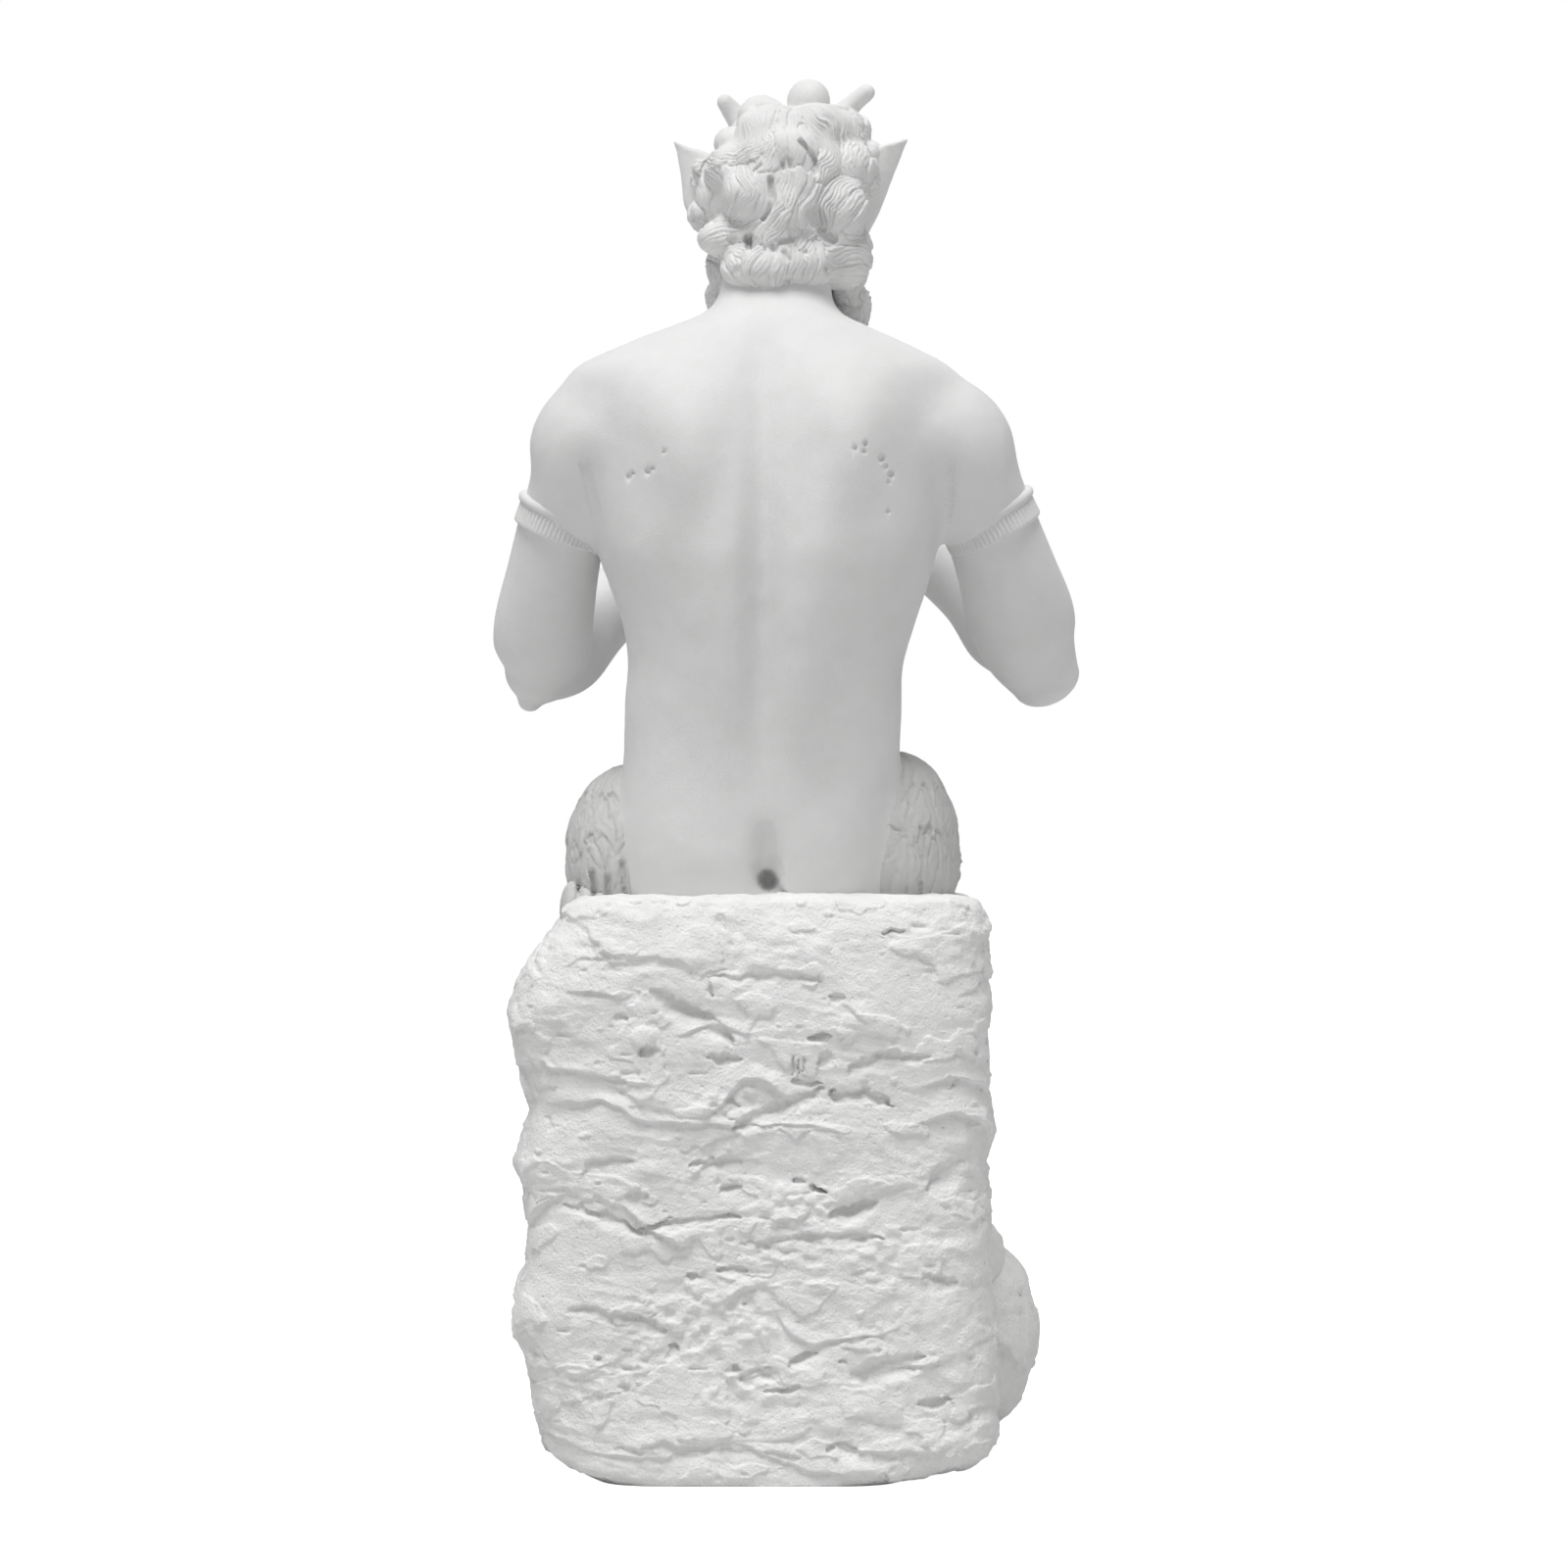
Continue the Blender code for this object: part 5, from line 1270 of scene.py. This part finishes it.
def makeHips():
    # Two flattened eggs over the root of the thighs, with fur that runs down and sinks away upwards.
    s = legSizes
    forms = [seatEgg(centre, radii, 56) for centre, radii in s["hips"][:2]]
    forms += [seatEgg(centre, radii) for centre, radii in s["tufts"]]
    piece = fuse("hips", forms, s["hipVoxel"])
    relax(piece.data, 4)
    carveLocks(piece.data, hipLocks(1) + hipLocks(-1), s["hipFur"])
    drill(piece.data, alongLines(s["furGaps"], (0, seat)))
    thin(piece, s["hipTriangles"])
    finishPiece(piece, furPaintedShadeStone)


def makeLegs():
    # Thighs, shanks, cannons and cloven hooves fused with the tufts, then carved.
    s = legSizes
    forms = [seatEgg(*s["hips"][2])]
    for side in (1, -1):
        forms.append(tube(thighStations(side), around=40))
        knee, hock, fetlock, toe = legJoints(side)
        calf = (knee + hock) / 2 + np.array([0, 0.014, 0.020])
        forms.append(tube([(*knee, 0.054, 0.058), (*calf, 0.050, 0.060), (*hock, 0.034, 0.040)], around=36))
        heel = hock + np.array([0, 0.016, 0.012])
        shin = (hock + fetlock) / 2
        cannon = [(*heel, 0.026, 0.030), (*shin, 0.026, 0.028), (*fetlock, 0.032, 0.034)]
        forms.append(tube(cannon, around=32))
        for claw in (-1, 1):
            apart = np.array([0.018 * claw, 0, 0])
            middle = (fetlock + toe) / 2 + np.array([0, -0.004, 0])
            hoof = [(*(fetlock + apart * 0.8), 0.017, 0.024)]
            hoof += [(*(middle + apart), 0.018, 0.028), (*(toe + apart), 0.018, 0.036)]
            forms.append(tube(hoof, around=28))
    locks = furLocks()
    forms += [lockForm(lock, 12) for lock in locks]
    piece = fuse("legs", forms, s["voxel"])
    relax(piece.data, 2)
    carveLocks(piece.data, [dict(lock, high=lock["high"] * 0.15) for lock in locks], s["fur"])
    thin(piece, s["triangles"])
    finishPiece(piece, furPaintedShadeStone)


makeHips()
makeLegs()
print("legs ready")

# Rock: height, left edge (+X), right edge (-X)
rockSizes = {
    "edges": [
        (-0.020, 0.140, -0.100), (-0.002, 0.164, -0.126), (0.014, 0.203, -0.189), (0.034, 0.220, -0.216),
        (0.070, 0.228, -0.218), (0.115, 0.240, -0.218), (0.155, 0.249, -0.217), (0.200, 0.238, -0.215),
        (0.250, 0.232, -0.215), (0.290, 0.236, -0.214), (0.310, 0.243, -0.214), (0.370, 0.234, -0.216),
        (0.425, 0.243, -0.210), (0.463, 0.253, -0.212), (0.505, 0.233, -0.213), (0.540, 0.210, -0.211),
        (0.565, 0.192, -0.204), (0.577, 0.165, -0.180),
    ],
    "top": 0.569,
    "dome": 0.007,
    "drawnIn": 0.14,
    "drawnFrom": 0.51,
    "drawnOver": 0.067,
    "widen": 1.022,
    "back": 0.164,
    "front": 0.250,
    "squareness": 5.0,
    "rows": 600,
    "rearColumns": 390,
    "frontColumns": 130,
    "rearTriangles": 196000,
    "frontTriangles": 62000,
    "ledgeTriangles": 62000,
    "meet": 0.12,
    "outcrops": [
        ((-0.198, -0.090, 0.125), (0.073, 0.103, 0.095)), ((-0.182, -0.060, 0.206), (0.054, 0.085, 0.050)),
        ((0.110, -0.205, 0.250), (0.100, 0.070, 0.190)), ((-0.060, -0.205, 0.120), (0.140, 0.080, 0.150)),
        ((0.020, -0.215, 0.480), (0.120, 0.060, 0.090)),
    ],
    "ledgeReach": 0.464,
    "ledgeHeight": 0.050,
}


# Marks on the rear face: x, height, half length, half height, tilt in degrees, depth
rockMarks = [
    (0.076, 0.458, 0.050, 0.012, -31, 0.0080), (0.117, 0.423, 0.010, 0.007, -10, 0.0100),
    (0.058, 0.486, 0.010, 0.004, -70, 0.0050), (0.046, 0.549, 0.009, 0.004, -60, 0.0045),
    (0.145, 0.456, 0.006, 0.007, 0, 0.0060), (0.038, 0.371, 0.010, 0.007, -20, 0.0055),
    (-0.124, 0.538, 0.010, 0.004, 12, 0.0060), (-0.066, 0.476, 0.007, 0.007, -10, 0.0090),
    (-0.050, 0.438, 0.011, 0.006, 8, 0.0130), (-0.054, 0.416, 0.009, 0.011, 20, 0.0090),
    (-0.022, 0.411, 0.009, 0.003, 84, 0.0035), (-0.029, 0.408, 0.009, 0.003, 90, 0.0035),
    (-0.036, 0.409, 0.009, 0.003, 98, 0.0035), (-0.038, 0.393, 0.015, 0.005, -8, 0.0080),
    (-0.089, 0.378, 0.032, 0.008, -6, 0.0110), (-0.116, 0.412, 0.042, 0.010, 10, 0.0050),
    (-0.186, 0.416, 0.007, 0.004, 0, 0.0040), (-0.182, 0.390, 0.007, 0.004, 30, 0.0040),
    (0.042, 0.417, 0.019, 0.007, 0, 0.0050), (0.162, 0.260, 0.042, 0.006, -20, 0.0080),
    (0.083, 0.255, 0.052, 0.006, 9, 0.0075), (0.127, 0.280, 0.013, 0.010, 0, 0.0065),
    (-0.050, 0.289, 0.010, 0.005, -10, 0.0110), (-0.030, 0.296, 0.006, 0.004, 0, 0.0070),
    (-0.084, 0.268, 0.024, 0.010, 15, 0.0080), (0.037, 0.290, 0.009, 0.006, 20, 0.0055),
    (0.037, 0.264, 0.010, 0.005, 0, 0.0080), (0.038, 0.209, 0.016, 0.006, 0, 0.0130),
    (0.075, 0.204, 0.005, 0.005, 0, 0.0060), (0.096, 0.131, 0.006, 0.006, -30, 0.0070),
    (0.030, 0.117, 0.005, 0.005, 0, 0.0070), (0.003, 0.114, 0.004, 0.005, 0, 0.0055),
    (-0.075, 0.121, 0.005, 0.005, 0, 0.0055), (-0.034, 0.122, 0.017, 0.008, 20, 0.0065),
    (-0.013, 0.094, 0.017, 0.005, 8, 0.0065), (-0.115, 0.114, 0.038, 0.013, 12, 0.0090),
    (-0.162, 0.080, 0.018, 0.007, 5, 0.0070), (-0.166, 0.197, 0.017, 0.009, -12, 0.0080),
    (-0.071, 0.033, 0.014, 0.010, 0, 0.0055), (0.009, 0.102, 0.020, 0.016, 0, 0.0045),
    (-0.010, 0.367, 0.050, 0.009, 22, 0.0065), (0.050, 0.313, 0.026, 0.009, 8, 0.0050),
    (0.157, 0.310, 0.028, 0.009, 12, 0.0050), (0.006, 0.493, 0.054, 0.009, 0, 0.0040),
    (0.190, 0.530, 0.040, 0.018, -35, 0.0050), (-0.040, 0.238, 0.070, 0.010, 4, 0.0045),
    (0.150, 0.160, 0.050, 0.012, -10, 0.0045), (-0.180, 0.300, 0.030, 0.014, 30, 0.0050),
    (0.060, 0.030, 0.090, 0.012, -3, 0.0040),
]
# Crumbled patches of the rear face: x, height, reach in x and height, strength
rockCrumbs = [
    (-0.022, 0.246, 0.036, 0.030, 1.0), (0.055, 0.170, 0.066, 0.030, 0.9),
    (0.090, 0.140, 0.050, 0.020, 0.7), (-0.048, 0.530, 0.048, 0.014, 0.4),
    (0.042, 0.375, 0.026, 0.014, 0.9), (0.020, 0.110, 0.030, 0.012, 0.7),
    (-0.090, 0.150, 0.040, 0.010, 0.5), (0.045, 0.090, 0.030, 0.012, 0.8),
    (0.160, 0.110, 0.040, 0.030, 0.5), (0.160, 0.520, 0.030, 0.016, 0.4),
    (-0.110, 0.225, 0.040, 0.026, 0.6),
]
# Round knobs on the rear face: x, height, radius, rise
rockKnobs = [(0.122, 0.437, 0.013, 0.005), (0.232, 0.455, 0.030, 0.004), (0.150, 0.350, 0.030, 0.003)]


def markDepth(points):
    # Each mark is an ellipse with a sharp upper edge, deepest just under it and shelving below.
    x = points[..., 0] + 0.0042 * layers(points, (0.013, 0.013, 0.013), 3, 21.0)
    z = points[..., 2] + 0.0044 * layers(points, (0.014, 0.014, 0.012), 3, 25.0)
    ragged = np.clip(0.85 + 0.6 * noise(points, (0.020, 0.020, 0.014), 29.0), 0.3, 1.2)
    total = 0
    for at, height, halfLength, halfHeight, tilt, depth in rockMarks:
        c, s = np.cos(np.radians(tilt)), np.sin(np.radians(tilt))
        along = (-(x - at) * c + (z - height) * s) / halfLength
        up = ((x - at) * s + (z - height) * c) / halfHeight
        edge = np.sqrt(np.clip(1 - along**2, 0, 1))
        share = (edge - up) / (2 * edge + 1e-6)
        floor = np.clip(share / 0.10, 0, 1) * np.clip((1 - share) / 0.75, 0, 1) ** 1.2
        inside = (np.abs(along) < 1) * (np.abs(up) < edge)
        total = np.maximum(total, 1.3 * depth * ragged * floor * inside * edge**0.4)
    return total


def strata(points, rear=None):
    # Rise of the rock's skin: soft swells, a few ragged lips that step in below, smears, crumbs and pits.
    warp = np.stack([noise(points, (0.05, 0.05, 0.03), 31.0 + 9 * i) for i in range(3)], -1)
    fine = layers(points, (0.016, 0.016, 0.012), 2, 36.0)
    bent = points + 0.012 * warp
    bent[..., 2] += 0.0030 * fine
    rise = 0.0048 * layers(points, (0.20, 0.20, 0.085), 2, 1.0)
    rise = rise + 0.0026 * layers(bent, (0.060, 0.060, 0.030), 2, 5.0)
    for thick, high, shift in ((0.074, 0.0072, 3.1), (0.041, 0.0042, 13.7)):
        slope = 1.6 * noise(points, (0.20, 0.20, 0.24), shift)
        slope = slope + 0.5 * noise(bent, (0.07, 0.07, 0.06), shift + 4)
        bed = bent[..., 2] / thick + slope
        part = bed - np.floor(bed)
        lap = (1 - part) ** 1.6 * np.clip(part / 0.05, 0, 1)
        patch = np.clip(2.6 * noise(bent, (0.100, 0.100, 0.042), shift + 8) - 0.65, 0, 1)
        rise = rise + high * (lap - 0.3) * patch
    plate = noise(bent, (0.055, 0.055, 0.026), 41.0) + 0.30 * fine
    rise = rise + 0.0018 * np.clip((plate - 0.22) / 0.05, 0, 1)
    tilted = np.stack([points[..., 0], points[..., 1], points[..., 2] - 0.22 * points[..., 0]], -1)
    smear = layers(tilted, (0.030, 0.030, 0.0055), 2, 61.0)
    smear = smear * np.clip(0.5 + 1.5 * noise(points, (0.10, 0.10, 0.06), 66.0), 0, 1)
    rise = rise + 0.00070 * smear
    crumbs = np.clip(1.8 * noise(points, (0.08, 0.08, 0.05), 9.9) - 0.55, 0, 0.5)
    if rear is not None:
        crumbs = crumbs * (1 - 0.6 * rear)
        for x, z, reachX, reachZ, strong in rockCrumbs:
            away = ((points[..., 0] - x) / reachX) ** 2 + ((points[..., 2] - z) / reachZ) ** 2 + 0.8 * fine
            crumbs = np.maximum(crumbs, strong * np.clip(1.6 - away, 0, 1) * rear)
    grains = 1.7 * noise(points, (0.0085, 0.0085, 0.0075), 71.0)
    grains = np.clip(grains + 0.5 * noise(points, (0.0045, 0.0045, 0.0042), 74.0), -0.9, 0.8)
    rough = np.clip(0.6 + 1.3 * noise(points, (0.09, 0.09, 0.07), 85.0), 0.15, 1)
    rise = rise + 0.0016 * rough * layers(bent, (0.020, 0.020, 0.013), 3, 81.0)
    rise = rise + 0.0024 * crumbs * grains + 0.00045 * noise(points, (0.0065, 0.0065, 0.0055), 77.0)
    hole = noise(points, (0.013, 0.013, 0.009), 12.5)
    rise = rise - 0.018 * np.clip(hole - 0.70, 0, 1) * (0.6 + crumbs)
    if rear is not None:
        rise = rise - markDepth(points) * rear
        for x, z, radius, knob in rockKnobs:
            away = np.hypot(points[..., 0] - x, points[..., 2] - z) / radius
            rise = rise + knob * np.clip(1 - away**4, 0, 1) * rear
    return rise


def rockRows():
    # Half width and middle of the block at each row, from under the foot round over the domed top.
    # Near the top it draws in as the square of the share of the way up.
    s = rockSizes
    heights = np.linspace(0.0, s["top"], s["rows"])
    rows = throughRows(s["edges"], 8)
    left = np.interp(heights, rows[:, 0], rows[:, 1])
    right = np.interp(heights, rows[:, 0], rows[:, 2])
    pinch = 1 - s["drawnIn"] * np.clip((heights - s["drawnFrom"]) / s["drawnOver"], 0, 1) ** 2
    under = np.array([0.02, 0.3, 0.6, 0.85, 0.95])
    over = np.array([0.985, 0.96, 0.92, 0.86, 0.78, 0.68, 0.55, 0.40, 0.2, 0.03])
    top = s["top"] + s["dome"] * np.sin(np.linspace(0.2, 1, len(over)) * np.pi / 2)

    def extend(values):
        return np.concatenate([np.full(len(under), values[0]), values, np.full(len(over), values[-1])])

    z = np.concatenate([np.zeros(len(under)), heights, top])
    scale = np.concatenate([under, np.ones(len(heights)), over])
    middle = extend(left + right) / 2 * s["widen"]
    half = extend(left - right) / 2 * s["widen"] * scale
    return z, scale, middle, half, extend(pinch)


def blockSkin(start, end, columns, focus):
    # Part of the block between two turns: a rounded-square outline, columns closer on the rear face.
    s = rockSizes
    turn = np.linspace(start, end, 6000)
    power = 2 / s["squareness"]
    x = np.sign(np.cos(turn)) * np.abs(np.cos(turn)) ** power
    y = np.sign(np.sin(turn)) * np.abs(np.sin(turn)) ** power
    step = np.hypot(np.diff(x) * 0.235, np.diff(y) * 0.20) * np.where(y[1:] > 0.85, focus, 1.0)
    length = np.concatenate([[0], np.cumsum(step)])
    pick = np.interp(np.linspace(0, length[-1], columns), length, np.arange(len(turn)))
    x, y = np.interp(pick, np.arange(len(turn)), x), np.interp(pick, np.arange(len(turn)), y)
    z, scale, middle, half, pinch = rockRows()
    px = middle[:, None] + half[:, None] * x[None]
    py = (scale * pinch)[:, None] * (np.where(y > 0, s["back"], s["front"]) * y)[None]
    base = np.stack([px, py, z[:, None] + 0 * px], -1)
    out = np.cross(np.gradient(base, axis=1), np.gradient(base, axis=0))
    out /= np.linalg.norm(out, axis=-1, keepdims=True) + 1e-12
    out[:, [0, -1], 1] = 0
    rear = np.clip((y - 0.80) / 0.15, 0, 1)[None] * np.ones((len(z), 1))
    rise = strata(base, rear)
    fade = np.clip(z / 0.010, 0, 1) * np.clip(scale / 0.5, 0, 1)
    rise = rise * fade[:, None]
    skin = base + out * rise[..., None]
    skin[..., 2] = np.where(z[:, None] <= 0, 0, np.maximum(skin[..., 2], 0.0005))
    return skin


def makeRock():
    # The rear half and the front half of the block share the columns where they meet.
    s = rockSizes
    meet = s["meet"]
    rearSkin = blockSkin(meet, np.pi - meet, s["rearColumns"], 1.5)
    frontSkin = blockSkin(np.pi - meet, 2 * np.pi + meet, s["frontColumns"], 1.0)
    frontSkin[:, 0], frontSkin[:, -1] = rearSkin[:, -1], rearSkin[:, 0]
    for name, skin, triangles in (
        ("rockRear", rearSkin, s["rearTriangles"]),
        ("rockFront", frontSkin, s["frontTriangles"]),
    ):
        share = np.linspace(0, 1, 9)[None, 1:-1, None]
        wall = skin[:, -1:] * (1 - share) + skin[:, :1] * share
        piece = placed(name, meshFrom(name, [closeRings(np.concatenate([skin, wall], 1))]))
        thin(piece, triangles)
        finishPiece(piece, rockStone)
    middle = -(s["ledgeReach"] + s["front"]) / 2 + 0.03
    reach = (s["ledgeReach"] - s["front"]) / 2 + 0.03
    ledge = [
        (0.175, middle + 0.012, 0.0, reach - 0.012, s["ledgeHeight"]),
        (0.080, middle - 0.002, 0.0, reach + 0.006, s["ledgeHeight"] * 0.96),
        (-0.070, middle + 0.004, 0.0, reach - 0.002, s["ledgeHeight"] * 0.98),
        (-0.165, middle + 0.010, 0.0, reach - 0.010, s["ledgeHeight"]),
    ]
    extra = [tube(ledge, side=(0, 1, 0), around=120, perSpan=24)]
    extra += [egg(centre, radii, 150) for centre, radii in s["outcrops"]]
    forms = []
    for p, quads, tris in extra:
        mesh = meshFrom("rough", [(p, quads, tris)])
        p = p + getNormals(mesh) * strata(p)[:, None]
        bpy.data.meshes.remove(mesh)
        p[:, 2] = np.maximum(p[:, 2], 0)
        forms.append((p, quads, tris))
    piece = placed("rockLedge", meshFrom("rockLedge", forms))
    thin(piece, s["ledgeTriangles"])
    finishPiece(piece, rockStone)


makeRock()
print("rock ready")

# Floor, lights and camera
stageSizes = {
    "half": 16.0,
    "floor": (0.62, 0.62, 0.62),
    "backdrop": 1.0,
    "sky": 0.38,
    "sunStrength": 2.4,
    "sunSoftness": np.radians(30),
    "sunFrom": (0.42, 1.30, 3.6),
    "fillEnergy": 9,
    "fillSize": 2.0,
    "fillFrom": (-0.8, -2.6, 3.0),
    "fillTo": (0, 0, 0.8),
}
cameraSizes = {
    "place": (-0.0147, 6.0, 0.745),
    "target": (-0.0147, 0.0, 0.683),
    "frameWidth": 1.568,  # metres across the frame at the target
    "sensor": 36,
}


def makeStage():
    # A pale floor and a pale room, both plain white to the camera's own rays.
    s = stageSizes
    half = s["half"]
    mesh = bpy.data.meshes.new("floor")
    corners = [(-half, -half, 0), (half, -half, 0), (half, half, 0), (-half, half, 0)]
    mesh.from_pydata(corners, [], [(0, 1, 2, 3)])
    floor = placed("floor", mesh)
    made = bpy.data.materials.new("paleFloor")
    made.use_nodes = True
    tree = made.node_tree
    shader = tree.nodes["Principled BSDF"]
    shader.inputs["Base Color"].default_value = (*s["floor"], 1)
    shader.inputs["Roughness"].default_value = 0.9
    shader.inputs["Emission Color"].default_value = (1, 1, 1, 1)
    seen = addNode(tree, "ShaderNodeLightPath", {}).outputs["Is Camera Ray"]
    tree.links.new(seen, shader.inputs["Emission Strength"])
    mesh.materials.append(made)
    world = bpy.data.worlds.new("paleRoom")
    bpy.context.scene.world = world
    world.use_nodes = True
    tree = world.node_tree
    back = tree.nodes["Background"]
    back.inputs["Color"].default_value = (1, 1, 1, 1)
    seen = addNode(tree, "ShaderNodeLightPath", {}).outputs["Is Camera Ray"]
    level = addNode(tree, "ShaderNodeMapRange", {"Value": seen, "To Min": s["sky"], "To Max": s["backdrop"]})
    tree.links.new(level.outputs["Result"], back.inputs["Strength"])


def makeLights():
    # A broad soft sun high behind the camera, and a weak panel in front of the figure.
    s = stageSizes
    scene = bpy.context.scene
    sun = bpy.data.lights.new("key", "SUN")
    sun.energy = s["sunStrength"]
    sun.angle = s["sunSoftness"]
    key = bpy.data.objects.new("key", sun)
    key.rotation_euler = (-Vector(s["sunFrom"])).to_track_quat("-Z", "Y").to_euler()
    scene.collection.objects.link(key)
    panel = bpy.data.lights.new("fill", "AREA")
    panel.size = s["fillSize"]
    panel.energy = s["fillEnergy"]
    fill = bpy.data.objects.new("fill", panel)
    fill.location = s["fillFrom"]
    fill.rotation_euler = (Vector(s["fillTo"]) - fill.location).to_track_quat("-Z", "Y").to_euler()
    scene.collection.objects.link(fill)


def makeCamera():
    # The lens is the sensor's width times the distance over the width seen at the target.
    s = cameraSizes
    camera = bpy.data.cameras.new("view")
    camera.sensor_width = s["sensor"]
    made = bpy.data.objects.new("view", camera)
    place, target = Vector(s["place"]), Vector(s["target"])
    made.location = place
    made.rotation_euler = (target - place).to_track_quat("-Z", "Y").to_euler()
    camera.lens = s["sensor"] * (target - place).length / s["frameWidth"]
    bpy.context.scene.collection.objects.link(made)
    bpy.context.scene.camera = made


makeStage()
makeLights()
makeCamera()
bpy.context.scene.view_settings.view_transform = "Standard"
print("stage ready")
